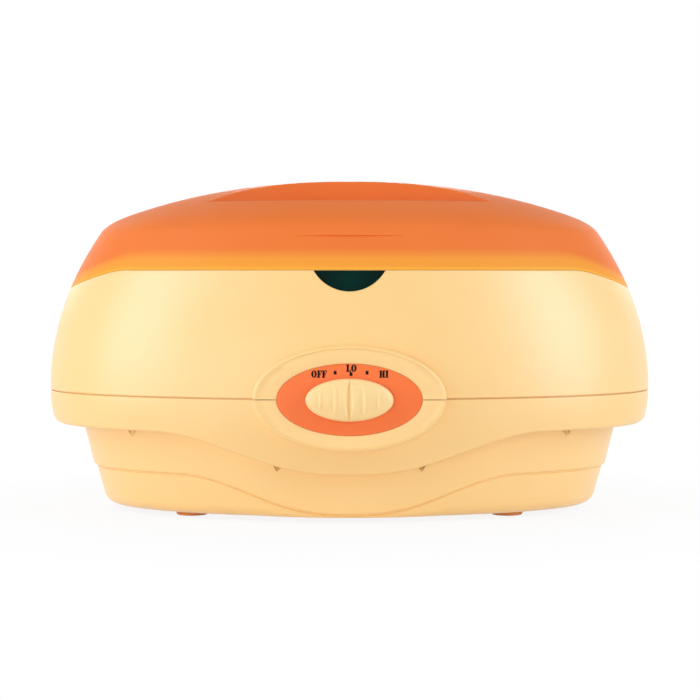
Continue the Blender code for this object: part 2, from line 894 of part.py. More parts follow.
def rack_outline():
    """The rack's (x, z) outline: straight-sided teeth on a flat bar."""
    pitch = math.pi * gear_module
    half_tooth = pitch / 4 - tooth_backlash / 2
    root_half = half_tooth + rack_dedendum * math.tan(pressure_angle)
    tip_half = half_tooth - rack_addendum * math.tan(pressure_angle)
    root_z = rack_pitch_z - rack_dedendum
    tip_z = rack_pitch_z + rack_addendum
    points = []
    for i in range(2 * rack_teeth_a_side):
        x = (i + 1 / 2 - rack_teeth_a_side) * pitch
        points += [(x - root_half, root_z), (x - tip_half, tip_z)]
        points += [(x + tip_half, tip_z), (x + root_half, root_z)]
    return [(points[0][0], rack_low_z), *points, (points[-1][0], rack_low_z)]


def make_carriage(finish, root):
    """A flat shutter behind the dial plate, with the rack along its back."""
    made = block(
        "slider_carriage", shutter_half_width, (shutter_back_reach, shutter_reach),
        (control_z - shutter_half_height, control_z + shutter_half_height), finish, root,
    )
    reaches = (pinion_back_reach, shutter_back_reach + shutter_thickness / 2)
    rings = [[(x, -reach, z) for x, z in rack_outline()] for reach in reaches]
    join(made, lofted("rack", rings, None, root))


def make_dial_plate(finish, root):
    flange = dial_flange_width
    steps = [
        (dial_half_width + flange, dial_half_height + flange, dial_back_reach),
        (dial_half_width + flange, dial_half_height + flange, dial_flange_reach),
        (dial_half_width, dial_half_height, dial_flange_reach),
        (dial_half_width, dial_half_height, dial_reach),
    ]
    made = panel_loft("dial_plate", steps, finish, root, tank_facets)
    hook_back = shutter_back_reach - seat_gap - lip_thickness
    bury = dial_flange_thickness / 2
    inner = shutter_half_height + rail_clearance
    for side in (-1, 1):
        arm_heights = (control_z + side * inner, control_z + side * (inner + hook_thickness))
        lip_heights = (control_z + side * lip_tip_height, control_z + side * (inner + bury))
        for end in (-1, 1):
            centre = end * (hook_spread - hook_length / 2)
            arm = block(
                f"hook_arm_{side}_{end}", hook_length / 2, (hook_back, dial_back_reach + bury),
                arm_heights, None, root, centre,
            )
            join(made, arm)
            for place, back in (("back", hook_back), ("front", shutter_reach + seat_gap)):
                lip = block(
                    f"hook_lip_{place}_{side}_{end}", hook_length / 2 - seat_gap,
                    (back + lip_relief, back + lip_thickness), lip_heights, None, root, centre,
                )
                join(made, lip)
    half_height = stem_half_height + slot_clearance
    slot = block(
        "dial_slot", knob_travel + stem_half_width + slot_clearance,
        (dial_back_reach - overrun, dial_reach + overrun),
        (control_z - half_height, control_z + half_height), None, root,
    )
    cut(made, slot)


def pinion_outline():
    """Points round the pinion: involute flanks between a root circle and a tip circle."""
    base_radius = pitch_radius * math.cos(pressure_angle)
    root_radius = pitch_radius - pinion_dedendum
    tip_radius = pitch_radius + pinion_addendum
    half_angle = math.pi / (2 * gear_teeth) - tooth_backlash / 2 / pitch_radius

    def roll(radius):
        angle = math.acos(min(base_radius / radius, 1))
        return math.tan(angle) - angle

    def flank(radius):
        return half_angle + roll(pitch_radius) - roll(radius)

    radii = (base_radius, pitch_radius, tip_radius)
    points = []
    for tooth in range(gear_teeth):
        middle = math.tau * tooth / gear_teeth - math.pi / 2
        rise = [(root_radius, -flank(base_radius))] + [(r, -flank(r)) for r in radii]
        fall = [(radius, -angle) for radius, angle in reversed(rise)]
        points += [(r * math.cos(middle + a), r * math.sin(middle + a)) for r, a in rise + fall]
    return points


# Thermostat on a steel bracket that stands on the front inner casing screws
spindle_radius = 3 * MM
spindle_entry = 2.7 * MM
pinion_bore_gap = 0.3 * MM
bracket_thickness = 1.5 * MM
bracket_half_width = 24 * MM
bracket_foot_margin = 4 * MM
bracket_foot_depth = 10.5 * MM
bracket_top_rise = 20 * MM
bracket_back_gap = 4 * MM
bracket_web_height = 12 * MM
thermostat_half_width = 17 * MM
thermostat_half_height = 15 * MM
thermostat_depth = 13 * MM
bracket_screw_spread = 13 * MM
bracket_screw_radius = 1.4 * MM
bracket_screw_head_radius = 2.6 * MM
bracket_screw_head_height = 1.8 * MM
bracket_screw_length = 7 * MM
bracket_front_reach = pinion_back_reach - bracket_back_gap
bracket_back_reach = bracket_front_reach - bracket_thickness
thermostat_reach = bracket_back_reach - seat_gap
spindle_end_reach = bracket_back_reach - spindle_entry


def make_thermostat(finishes, root):
    body = block(
        "thermostat_body", thermostat_half_width,
        (thermostat_reach - thermostat_depth, thermostat_reach),
        (spindle_z - thermostat_half_height, spindle_z + thermostat_half_height),
        finishes["nylon"], root,
    )
    inner_screws = [p for p in screw_places() if p[0].startswith("front") and p[0].endswith("inner")]
    foot_z = inner_screws[0][3] + pad_rise + seat_gap
    bracket = block(
        "thermostat_bracket", bracket_half_width, (bracket_back_reach, bracket_front_reach),
        (foot_z, spindle_z + bracket_top_rise), finishes["steel"], root,
    )
    foot_half_width = screw_place_shares[1] * body_width / 2 + bracket_foot_margin
    web = block(
        "bracket_web", foot_half_width, (bracket_back_reach, bracket_front_reach),
        (foot_z, foot_z + bracket_web_height), None, root,
    )
    foot = block(
        "bracket_foot", foot_half_width,
        (bracket_back_reach, bracket_back_reach + bracket_foot_depth),
        (foot_z, foot_z + bracket_thickness), None, root,
    )
    join(bracket, web, foot)
    for name, x, y, edge in inner_screws:
        hole = cylinders(
            name + "_bracket_hole", [(x, y)], foot_z - overrun, foot_z + overrun,
            screw_shank_radius + seat_gap, root, small_facets,
        )
        cut(bracket, hole)
    axis_place = (0, 0, spindle_z)
    hole_radius = spindle_radius + seat_gap
    bush = turned(
        "spindle_hole",
        [(hole_radius, spindle_end_reach - seat_gap), (hole_radius, bracket_front_reach + overrun)],
        None, root, axis_place, round_facets, "Y",
    )
    cut(bracket, bush)
    cut(body, bush)
    for name, side in (("bracket_screw_left", -1), ("bracket_screw_right", 1)):
        place = (side * bracket_screw_spread, 0, spindle_z)
        seat = bracket_front_reach + seat_gap
        end = seat - seat_gap - bracket_thickness - bracket_screw_length
        radius = bracket_screw_radius + seat_gap
        hole = turned(
            name + "_hole", [(radius, end - seat_gap), (radius, seat + overrun)],
            None, root, place, small_facets, "Y",
        )
        cut(bracket, hole)
        cut(body, hole)
        head_end = seat + bracket_screw_head_height
        profile = [
            (bracket_screw_radius, end), (bracket_screw_radius, seat),
            (bracket_screw_head_radius, seat), (bracket_screw_head_radius, head_end),
        ]
        turned(name, profile, finishes["steel"], root, place, small_facets, "Y")
    turned(
        "thermostat_spindle",
        [(spindle_radius, spindle_end_reach), (spindle_radius, pinion_front_reach)],
        finishes["brass"], root, axis_place, round_facets, "Y",
    )
    rings = [
        [(x, -reach, z) for x, z in pinion_outline()]
        for reach in (pinion_back_reach, pinion_front_reach)
    ]
    pinion = lofted("spindle_pinion", rings, finishes["nylon"], root, axis_place)
    bore_radius = spindle_radius + pinion_bore_gap
    bore = turned(
        "pinion_bore",
        [(bore_radius, pinion_back_reach - overrun), (bore_radius, pinion_front_reach + overrun)],
        None, root, axis_place, round_facets, "Y",
    )
    cut(pinion, bore)


# Wax tank and its gasket
tank_wall = 1 * MM
tank_clearance = 1.2 * MM
tank_floor_rise = 42.5 * MM
tank_side_room = 29.5 * MM
tank_front_room = 33.1 * MM
tank_corner = 14 * MM
tank_flange_inset = 1 * MM
tank_lip_round = 1 * MM
gasket_thickness = 1 * MM
tank_bottom_z = base_z + tank_floor_rise
tank_bottom_half_width = waist_half_width(tank_bottom_z) - tank_side_room
tank_bottom_half_depth = waist_half_width(tank_bottom_z) * depth_share - tank_front_room
gasket_z = collar_z + seat_gap
flange_z = gasket_z + gasket_thickness + seat_gap
mouth_half_width = wall_half_width(collar_z) - seat_inset - tank_clearance
mouth_half_depth = wall_half_width(collar_z) * depth_share - seat_inset - tank_clearance

tank_corner_shares = (0, 0.34, 0.67, 1)
stud_place_shares = (0.43, 0.24)
stud_radius = 2.5 * MM
stud_length = 24 * MM


def stud_places():
    x = stud_place_shares[0] * tank_bottom_half_width
    y = stud_place_shares[1] * tank_bottom_half_depth
    return [(-x, -y), (-x, y), (x, -y), (x, y)]


def tank_sizes(z):
    """Outer half width and half depth of the tank's tapering wall."""
    share = (z - tank_bottom_z - tank_corner) / (flange_z - tank_bottom_z - tank_corner)
    wide = tank_bottom_half_width + share * (mouth_half_width - tank_bottom_half_width)
    deep = tank_bottom_half_depth + share * (mouth_half_depth - tank_bottom_half_depth)
    return wide, deep


def make_tank(finishes, root):
    def corner_rings(thickness, floor_z):
        rings = []
        radius = tank_corner - thickness
        for share in tank_corner_shares:
            angle = share * math.pi / 2
            inset = tank_corner - radius * math.sin(angle)
            z = floor_z + radius * (1 - math.cos(angle))
            wide, deep = tank_bottom_half_width - inset, tank_bottom_half_depth - inset
            rings.append(oval(wide, deep, z, tank_facets))
        return rings

    flange_wide = wall_half_width(collar_z) - collar_inset - tank_flange_inset
    flange_deep = wall_half_width(collar_z) * depth_share - collar_inset - tank_flange_inset
    top = flange_z + tank_wall
    wide, deep = mouth_half_width, mouth_half_depth
    lip = tank_wall - tank_lip_round
    inner = corner_rings(tank_wall, tank_bottom_z + tank_wall)
    outer = corner_rings(0.0, tank_bottom_z)
    rings = inner + [
        oval(wide - tank_wall, deep - tank_wall, top - tank_lip_round, tank_facets),
        oval(wide - lip, deep - lip, top, tank_facets),
        oval(flange_wide, flange_deep, top, tank_facets),
        oval(flange_wide, flange_deep, flange_z, tank_facets),
        oval(wide, deep, flange_z, tank_facets),
    ] + outer[::-1]
    made = lofted("wax_tank", rings, finishes["tank"], root)
    studs = cylinders(
        "tank_studs", stud_places(), tank_bottom_z - stud_length, tank_bottom_z + tank_wall / 2,
        stud_radius, root, small_facets,
    )
    join(made, studs)
    inner_wide = wall_half_width(collar_z) - seat_inset + seat_gap
    inner_deep = wall_half_width(collar_z) * depth_share - seat_inset + seat_gap
    low, high = gasket_z, gasket_z + gasket_thickness
    rings = [
        oval(flange_wide, flange_deep, low), oval(flange_wide, flange_deep, high),
        oval(inner_wide, inner_deep, high), oval(inner_wide, inner_deep, low),
    ]
    lofted("tank_gasket", rings, finishes["silicone"], root, closed=True)


# Heater stack under the tank: element, cut-out and sensor, clamp plate, pad and shield
element_radius = 4 * MM
element_inset = 17 * MM
element_front_inset = 12 * MM
element_end_spread = 12 * MM
element_bend_shares = (0.33, 0.67, 1)
tail_length = 17.5 * MM
clamp_inset = 22 * MM
clamp_front_inset = 11 * MM
clamp_thickness = 1.5 * MM
pad_thickness = 6 * MM
shield_thickness = 1 * MM
shield_margin = 3 * MM
shield_rim = 5 * MM
nut_radius = 4.6 * MM
nut_height = 4 * MM
hole_clearance = 0.4 * MM
cutout_radius = 8 * MM
cutout_neck_radius = 5 * MM
bulb_length_share = 0.337
bulb_reach_share = 0.533
capillary_radius = 1 * MM
capillary_lead = 10 * MM
capillary_turn = 4 * MM
capillary_drop = 5 * MM
capillary_hole_radius = 3 * MM
capillary_port_share = 0.6
clamp_half_width = tank_bottom_half_width - clamp_inset
clamp_half_depth = tank_bottom_half_depth - clamp_front_inset
element_half_width = clamp_half_width - element_inset
element_half_depth = clamp_half_depth - element_front_inset
bulb_half_length = bulb_length_share * element_half_width
bulb_reach = bulb_reach_share * element_half_depth
element_z = tank_bottom_z - seat_gap - element_radius
clamp_top_z = element_z - element_radius - seat_gap
clamp_low_z = clamp_top_z - clamp_thickness
pad_top_z = clamp_low_z - seat_gap
pad_low_z = pad_top_z - pad_thickness
shield_top_z = pad_low_z - seat_gap
shield_low_z = shield_top_z - shield_thickness
nut_top_z = shield_low_z - seat_gap
tail_z = element_z - tail_length
capillary_hole_x = bulb_half_length + capillary_lead


def smooth_path(points, steps=3):
    """A smooth curve through the given points, as a longer list of points."""
    path = [Vector(p) for p in points]
    path = [2 * path[0] - path[1], *path, 2 * path[-1] - path[-2]]
    smooth = []
    for a, b, c, d in zip(path, path[1:], path[2:], path[3:]):
        for i in range(steps):
            t = i / steps
            smooth.append(
                (2 * b + (c - a) * t + (2 * a - 5 * b + 4 * c - d) * t**2
                 + (3 * b - a - 3 * c + d) * t**3) / 2
            )
    smooth.append(path[-2])
    return smooth


def tube(name, path, radius, finish, parent, facets=8):
    """A round solid along a path, with flat ends square to it."""
    rings = []
    side = None
    for i, point in enumerate(path):
        ahead = path[min(i + 1, len(path) - 1)] - path[max(i - 1, 0)]
        ahead.normalize()
        if side is None:
            side = ahead.orthogonal().normalized()
        side = (side - ahead * side.dot(ahead)).normalized()
        other = ahead.cross(side)
        ring = []
        for turn in range(facets):
            angle = math.tau * turn / facets
            ring.append(tuple(point + radius * (math.cos(angle) * side + math.sin(angle) * other)))
        rings.append(ring)
    return lofted(name, rings, finish, parent)


def element_path():
    """An oval loop, open at the back, whose ends turn down through the plates."""
    gap = math.asin(element_end_spread / element_half_width)
    loop = []
    start = math.pi / 2 + gap
    for i in range(tank_facets + 1):
        angle = start + (math.tau - 2 * gap) * i / tank_facets
        x = element_half_width * math.cos(angle)
        y = element_half_depth * math.sin(angle)
        loop.append(Vector((x, y, element_z)))
    tails = []
    bend = element_radius + seat_gap
    for end in (loop[0], loop[-1]):
        down = []
        toward = math.copysign(1, -end.x)
        for share in element_bend_shares:
            angle = share * math.pi / 2
            x = end.x + toward * bend * math.sin(angle)
            down.append(Vector((x, end.y, element_z - bend * (1 - math.cos(angle)))))
        down.append(Vector((down[-1].x, end.y, tail_z)))
        tails.append(down)
    return tails[0][::-1] + loop + tails[1]


def plate_holes(name, low, high, root):
    """Cutters for the studs, the element's ends, the cut-out's neck and the capillary."""
    tail = element_path()[0]
    tails = [(-tail.x, tail.y), (tail.x, tail.y)]
    holes = (
        ("stud", stud_places(), stud_radius + hole_clearance, small_facets),
        ("tail", tails, element_radius + hole_clearance, round_facets),
        ("neck", [(0, 0)], cutout_neck_radius + hole_clearance, round_facets),
        ("capillary", [(capillary_hole_x, -bulb_reach)], capillary_hole_radius, small_facets),
    )
    return [
        cylinders(f"{name}_{kind}_hole", places, low, high, radius, root, facets)
        for kind, places, radius, facets in holes
    ]


def make_heater(finishes, root):
    tube("heating_element", element_path(), element_radius, finishes["steel"], root, small_facets)
    wide, deep = clamp_half_width, clamp_half_depth
    rings = [oval(wide, deep, z, tank_facets) for z in (clamp_low_z, clamp_top_z)]
    clamp = lofted("heater_clamp_plate", rings, finishes["tank"], root)
    wide, deep = clamp_half_width - shield_margin, clamp_half_depth - shield_margin
    rings = [oval(wide, deep, z, tank_facets) for z in (pad_low_z, pad_top_z)]
    pad = lofted("insulation_pad", rings, finishes["fibre"], root)
    rim_z = shield_top_z + shield_rim
    steps = [
        (seat_gap, shield_top_z), (seat_gap, rim_z),
        (seat_gap + shield_thickness, rim_z), (seat_gap + shield_thickness, shield_low_z),
    ]
    rings = [oval(wide + grow, deep + grow, z, tank_facets) for grow, z in steps]
    shield = lofted("heat_shield", rings, finishes["steel"], root)
    for name, plate in (("clamp", clamp), ("pad", pad), ("shield", shield)):
        cut(plate, *plate_holes(name, shield_low_z - overrun, clamp_top_z + seat_gap, root))
    names = ("left_front", "left_rear", "right_front", "right_rear")
    nut_low_z = nut_top_z - nut_height
    for name, (x, y) in zip(names, stud_places()):
        nut = turned(
            "heater_nut_" + name, [(nut_radius, nut_low_z), (nut_radius, nut_top_z)],
            finishes["steel"], root, (x, y, 0), nut_facets,
        )
        bore = cylinders(
            name + "_nut_bore", [(x, y)], nut_low_z - overrun, nut_top_z + overrun,
            stud_radius + seat_gap, root, small_facets,
        )
        cut(nut, bore)
    body_low = element_z - element_radius
    profile = [
        (cutout_neck_radius, tail_z), (cutout_neck_radius, body_low),
        (cutout_radius, body_low), (cutout_radius, tank_bottom_z - seat_gap),
    ]
    turned("thermal_cutout", profile, finishes["steel"], root)
    bulb = [Vector((x, -bulb_reach, element_z)) for x in (-bulb_half_length, bulb_half_length)]
    tube("sensor_bulb", bulb, element_radius, finishes["copper"], root, small_facets)
    make_capillary(finishes["copper"], root)


def make_capillary(finish, root):
    """The thin tube from the sensor bulb, down through the plates and forward to the thermostat."""
    hole_x, y = capillary_hole_x, -bulb_reach
    under = shield_low_z - capillary_drop
    port_x = thermostat_half_width * capillary_port_share
    port_y = -(thermostat_reach - thermostat_depth) - overrun
    port_z = spindle_z - thermostat_half_height
    route = [
        (bulb_half_length + seat_gap, y, element_z), (hole_x - capillary_turn, y, element_z),
        (hole_x, y, clamp_top_z), (hole_x, y, shield_low_z), (hole_x, y - overrun / 2, under),
        (hole_x - overrun, -clamp_half_depth, under),
        (port_x, -clamp_half_depth - 3 * overrun, under + overrun),
        (port_x, port_y, port_z - 2 * overrun), (port_x, port_y, port_z - seat_gap),
    ]
    tube("capillary_tube", smooth_path(route), capillary_radius, finish, root, wire_facets)


# Wires inside the casing, each from one terminal to the next
wire_radius = 1.1 * MM
wire_clearance = 0.3 * MM
wire_step = 2 * MM
wire_lift = 4 * MM
wire_lead = 6 * MM
wire_bend = 12 * MM
wire_rise = 18 * MM
wire_fall = 19.2 * MM
cutout_wire_spread = 2.4 * MM
live_spread_shares = (2, 4, 5, 3, -0.71)
switched_spread_shares = (-1.8, -2, -1)
neutral_spread_share = -1.6
earth_spread_shares = (-3, -6)
element_wire_share = 0.71
wire_floor_z = base_z + wall + wire_clearance + wire_radius


def make_wires(finishes, root):
    floor = wire_floor_z
    tab = inlet_back_reach - pin_tab_length - wire_clearance
    pins = {name: (x, z) for name, x, z in pin_places()}
    live_x, live_z = pins["inlet_pin_live"]
    neutral_x, neutral_z = pins["inlet_pin_neutral"]
    earth_x, earth_z = pins["inlet_pin_earth"]
    stat_y = -(thermostat_reach - thermostat_depth / 2)
    stat_z = spindle_z - thermostat_half_height - wire_clearance
    stat_top_z = spindle_z + thermostat_half_height
    under = tail_z - wire_clearance
    tail = element_path()[0]
    tail_x = abs(tail.x)
    stud_x, stud_y = stud_places()[1]
    stud_end = tank_bottom_z - stud_length - wire_clearance
    board_y = -board_reach - board_thickness / 2
    live = [share * pin_spread for share in live_spread_shares]
    switched = [share * pin_spread for share in switched_spread_shares]
    neutral = neutral_spread_share * pin_spread
    earth = [share * pin_spread for share in earth_spread_shares]
    routes = {
        "live_wire": ("live", [
            (live_x, tab, live_z), (live_x, tab - wire_lead, live_z - wire_step),
            (live[0], tab - wire_bend, live_z - wire_fall),
            (live[1], tab - 2 * wire_bend, floor + wire_lift), (live[2], 0, floor),
            (live[3], stat_y + 2 * wire_bend, floor + wire_lift),
            (live[4], stat_y, stat_z - wire_rise), (live[4], stat_y, stat_z),
        ]),
        "thermostat_wire": ("white_wire", [
            (switched[0], stat_y, stat_z), (switched[0], stat_y, stat_z - wire_rise),
            (switched[1], stat_y + wire_rise, floor + wire_lead),
            (switched[2], -wire_bend, floor + wire_step),
            (-cutout_wire_spread, -wire_step, floor + wire_lead), (-cutout_wire_spread, 0, under),
        ]),
        "element_wire": ("white_wire", [
            (cutout_wire_spread, 0, under), (cutout_wire_spread, wire_step, floor + wire_lead),
            (tail_x * element_wire_share, tail.y / 2, floor + wire_step),
            (tail_x, tail.y - wire_step, floor + wire_lead), (tail_x, tail.y, under),
        ]),
        "neutral_wire": ("neutral", [
            (neutral_x, tab, neutral_z), (neutral_x, tab - wire_lead, neutral_z - wire_step),
            (neutral, tab - wire_bend, neutral_z - wire_fall),
            (neutral, tab - wire_fall, floor + wire_lead),
            (-tail_x, tail.y + wire_lead / 2, floor + wire_lead), (-tail_x, tail.y, under),
        ]),
        "earth_wire": ("earth", [
            (earth_x, tab, earth_z), (earth_x, tab - wire_lead / 2, earth_z),
            (earth_x - wire_step, tab - wire_lead, earth_z + wire_step),
            (earth[0], tab - wire_bend, earth_z - wire_lead),
            (earth[1], tab - 2 * wire_bend, floor + wire_bend),
            (stud_x, stud_y + wire_lead, floor + wire_step), (stud_x, stud_y, floor + wire_lead),
            (stud_x, stud_y, stud_end),
        ]),
        "lamp_wire": ("white_wire", [
            (0, stat_y, stat_top_z + wire_clearance), (0, stat_y, stat_top_z + wire_bend),
            (0, board_y, board_low_z - wire_bend), (0, board_y, board_low_z - wire_clearance),
        ]),
    }
    for name, (finish, route) in routes.items():
        tube(name, smooth_path(route), wire_radius, finishes[finish], root, wire_facets)


# Grille that keeps hands off the hot floor of the tank
grille_rise = 10 * MM
grille_thickness = 3 * MM
grille_clearance = 2.5 * MM
grille_slot_half_width = 3.5 * MM
grille_slot_spacing = 15 * MM
grille_border = 9 * MM
grille_bridge_half_width = 5 * MM
grille_leg_radius = 4 * MM
grille_leg_place_shares = (0.66, 0.56)
grille_z = tank_bottom_z + grille_rise


def make_grille(finish, root):
    wide, deep = tank_sizes(grille_z)
    wide -= tank_wall + grille_clearance
    deep -= tank_wall + grille_clearance
    top = grille_z + grille_thickness
    rings = [oval(wide, deep, z, tank_facets) for z in (grille_z, top)]
    made = lofted("safety_grille", rings, finish, root)
    count = int((wide - grille_border) / grille_slot_spacing)
    pairs = []
    for i in range(-count, count + 1):
        x = i * grille_slot_spacing
        edge = abs(x) + grille_slot_half_width
        reach = deep * math.sqrt(1 - (edge / wide) ** 2) - grille_border
        for side in (-1, 1):
            low, high = sorted((side * grille_bridge_half_width, side * reach))
            if reach > 2 * grille_bridge_half_width:
                pairs.append((
                    (x - grille_slot_half_width, low, grille_z - overrun),
                    (x + grille_slot_half_width, high, top + overrun),
                ))
    cut(made, boxes("grille_slots", pairs, None, root))
    bars = round(wide * grille_leg_place_shares[0] / grille_slot_spacing - 1 / 2)
    leg_x = (bars + 1 / 2) * grille_slot_spacing
    leg_y = deep * grille_leg_place_shares[1]
    places = [(x * leg_x, y * leg_y) for x in (-1, 1) for y in (-1, 1)]
    legs = cylinders(
        "grille_legs", places, tank_bottom_z + tank_wall + seat_gap, grille_z + grille_thickness / 2,
        grille_leg_radius, root, small_facets,
    )
    join(made, legs)


# Lid: a deep shell with a grip formed by a hollow in front and one behind
shoulder_width = 19.2 * MM
crown_drop = 20.5 * MM
lid_side_rise = 23.5 * MM
crown_shares = (0.84, 0.66, 0.46, 0.26, 0.1)
side_shares = (0.2, 0.45, 0.72, 1)
shoulder_steps = (0.25, 0.5, 0.75, 1)
grip_length_share = 0.624
grip_outer_drop = 14 * MM
grip_half_thickness = 10 * MM
grip_depth = 26 * MM
grip_corner = 5 * MM
thumb_half_width = 33 * MM
thumb_depth = 1.3 * MM
thumb_low = 8.6 * MM
thumb_high = 20.6 * MM
thumb_relief = 0.1 * MM
scoop_tip_share = 1.6
lid_shoulder_z = lid_edge_z + lid_side_rise
crown_half_width = wall_half_width(lid_shoulder_z) - shoulder_width
grip_half_length = grip_length_share * crown_half_width


def crown_height(half_width):
    return crown_z - crown_drop * (half_width / crown_half_width) ** 2


def lid_profile():
    """(half width, height) steps of the lid from where its side starts to near its top."""
    side_z = lid_shoulder_z
    start = Vector((wall_half_width(side_z), side_z))
    step = overrun / 10
    slope = (wall_half_width(side_z) - wall_half_width(side_z - step)) / step
    end = Vector((crown_half_width, crown_height(crown_half_width)))
    fall = -2 * crown_drop / crown_half_width
    rise = (end.y - start.y + fall * (start.x - end.x)) / (1 - fall * slope)
    corner = start + Vector((slope * rise, rise))
    points = [start]
    for t in shoulder_steps:
        points.append((1 - t) ** 2 * start + 2 * t * (1 - t) * corner + t**2 * end)
    points += [Vector((s * crown_half_width, crown_height(s * crown_half_width))) for s in crown_shares]
    return points


def lid_rings(offset):
    """Rings of the lid's outer skin, or of the skin that lies an offset inside it."""
    def side_height(share):
        def height(angle):
            low = lid_edge(angle) + seat_gap
            return low + share * (lid_shoulder_z - low)
        return height

    if offset:
        low = lid_edge_z - lid_edge_drop - overrun
        foot = plan_ring(wall_half_width, side_height(0), offset)
        rings = [[(x, y, low) for x, y, z in foot], [(x, y, z - seam_gap) for x, y, z in foot]]
    else:
        rings = [
            plan_ring(wall_half_width, level(lid_edge_z + overrun), 2 * lid_wall),
            plan_ring(wall_half_width, side_height(0), 2 * lid_wall),
            plan_ring(wall_half_width, side_height(0)),
        ]
    rings += [plan_ring(wall_half_width, side_height(share), offset) for share in side_shares[:-1]]
    profile = lid_profile()
    for i, point in enumerate(profile):
        before, after = profile[max(i - 1, 0)], profile[min(i + 1, len(profile) - 1)]
        along = (after - before).normalized()
        out = Vector((along.y, -along.x))
        if i == 0:
            out = Vector((1, 0))
        wide = point.x - offset * out.x
        deep = point.x * depth_share - offset * out.x
        rings.append(oval(wide, deep, point.y - offset * out.y))
    return rings


def scoop_ring(side, z, grow):
    """A crescent between the grip and a level line of the crown; grow widens it all round."""
    outer_half = crown_half_width * math.sqrt(grip_outer_drop / crown_drop)
    tip_y = depth_share * math.sqrt(outer_half**2 - grip_half_length**2)
    length = grip_half_length + grow * scoop_tip_share
    widest = (outer_half * depth_share - grip_half_thickness) / 2
    ring = []
    count = round_facets
    for front in (True, False):
        for i in range(count):
            turn = math.pi * i / count if front else math.pi * (1 + i / count)
            x = length * math.cos(turn)
            share = x / length
            inner = grip_half_thickness + (tip_y - grip_half_thickness) * share**2
            outer = depth_share * math.sqrt(outer_half**2 - (share * grip_half_length) ** 2)
            middle = (inner + outer) / 2
            half = (outer - inner) / 2 * (1 + grow / widest)
            y = middle + half if front else middle - half
            ring.append((x, -side * y, z))
    return ring


def make_scoop(name, side, offset, root):
    floor = crown_z - grip_depth - offset
    steps = [
        (floor, offset - grip_corner), (floor + grip_corner / 3, offset - grip_corner / 3),
        (floor + grip_corner, offset), (crown_z + overrun, offset + grip_corner / 3),
    ]
    return lofted(name, [scoop_ring(side, z, grow) for z, grow in steps], None, root)


def make_thumb_cut(name, side, root):
    """A shallow hollow low on the lid's side, deepest at its straight upper edge."""
    rings = []
    for rise, depth in ((thumb_low, 0.0), (thumb_high, thumb_depth)):
        z = lid_edge_z + rise
        ring = []
        for i in range(small_facets + 1):
            x = thumb_half_width * (2 * i / small_facets - 1)
            fade = 1 - (x / thumb_half_width) ** 4
            reach = depth_share * math.sqrt(wall_half_width(z) ** 2 - x**2)
            ring.append((x, -side * (reach - depth * fade + thumb_relief), z))
        far = side * (wall_half_width(lid_edge_z) * depth_share + overrun)
        ring += [(thumb_half_width, -far, z), (-thumb_half_width, -far, z)]
        rings.append(ring)
    return lofted(name, rings, None, root)


def make_lid(finish, root):
    made = lofted("lid", lid_rings(0.0), finish, root)
    hollow = lofted("lid_hollow", lid_rings(lid_wall), None, root)
    for name, side in (("front", 1), ("rear", -1)):
        cut(hollow, make_scoop(f"{name}_scoop_inside", side, lid_wall, root))
    for name, side in (("front", 1), ("rear", -1)):
        cut(made, make_scoop(f"{name}_scoop", side, 0.0, root))
        cut(made, make_thumb_cut(f"{name}_thumb", side, root))
    cut(made, hollow)


def build():
    for existing in list(bpy.data.objects):
        bpy.data.objects.remove(existing, do_unlink=True)
    finishes = make_materials()
    root = empty("bath", (0, (front_reach - rear_reach) / 2, 0))
    make_lower_housing(finishes["casing"], root)
    make_upper_housing(finishes["casing"], root)
    make_casing_screws(finishes["steel"], root)
    make_feet(finishes["rubber"], root)
    make_lens(finishes["lens"], root)
    make_lamps(finishes, root)
    make_inlet(finishes, root)
    make_dial_plate(finishes["dial"], root)
    make_knob(finishes["casing"], root)
    make_carriage(finishes["nylon"], root)
    make_thermostat(finishes, root)
    make_tank(finishes, root)
    make_heater(finishes, root)
    make_wires(finishes, root)
    make_grille(finishes["grille"], root)
    make_lid(finishes["lid"], root)


build()
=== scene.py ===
import math

import bpy
import numpy as np
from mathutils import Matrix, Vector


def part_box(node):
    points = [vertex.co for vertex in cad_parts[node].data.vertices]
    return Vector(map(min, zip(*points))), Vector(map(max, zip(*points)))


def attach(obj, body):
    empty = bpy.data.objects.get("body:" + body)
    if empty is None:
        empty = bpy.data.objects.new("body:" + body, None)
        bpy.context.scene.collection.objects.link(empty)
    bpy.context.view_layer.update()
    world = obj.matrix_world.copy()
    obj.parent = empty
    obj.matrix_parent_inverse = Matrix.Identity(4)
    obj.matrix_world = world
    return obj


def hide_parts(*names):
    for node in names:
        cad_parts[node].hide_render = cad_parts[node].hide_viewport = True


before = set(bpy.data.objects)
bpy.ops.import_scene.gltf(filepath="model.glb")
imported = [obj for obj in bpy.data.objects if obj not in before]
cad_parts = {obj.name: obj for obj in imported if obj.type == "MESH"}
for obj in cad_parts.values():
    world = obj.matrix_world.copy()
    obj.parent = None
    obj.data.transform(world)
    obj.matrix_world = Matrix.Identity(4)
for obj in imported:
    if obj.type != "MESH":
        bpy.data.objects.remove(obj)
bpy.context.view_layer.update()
tankLow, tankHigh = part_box("wax_tank")
middleY = (tankLow.y + tankHigh.y) / 2  # the ovals are centred here, just behind the frame's origin
mm = 0.001
pi = math.pi

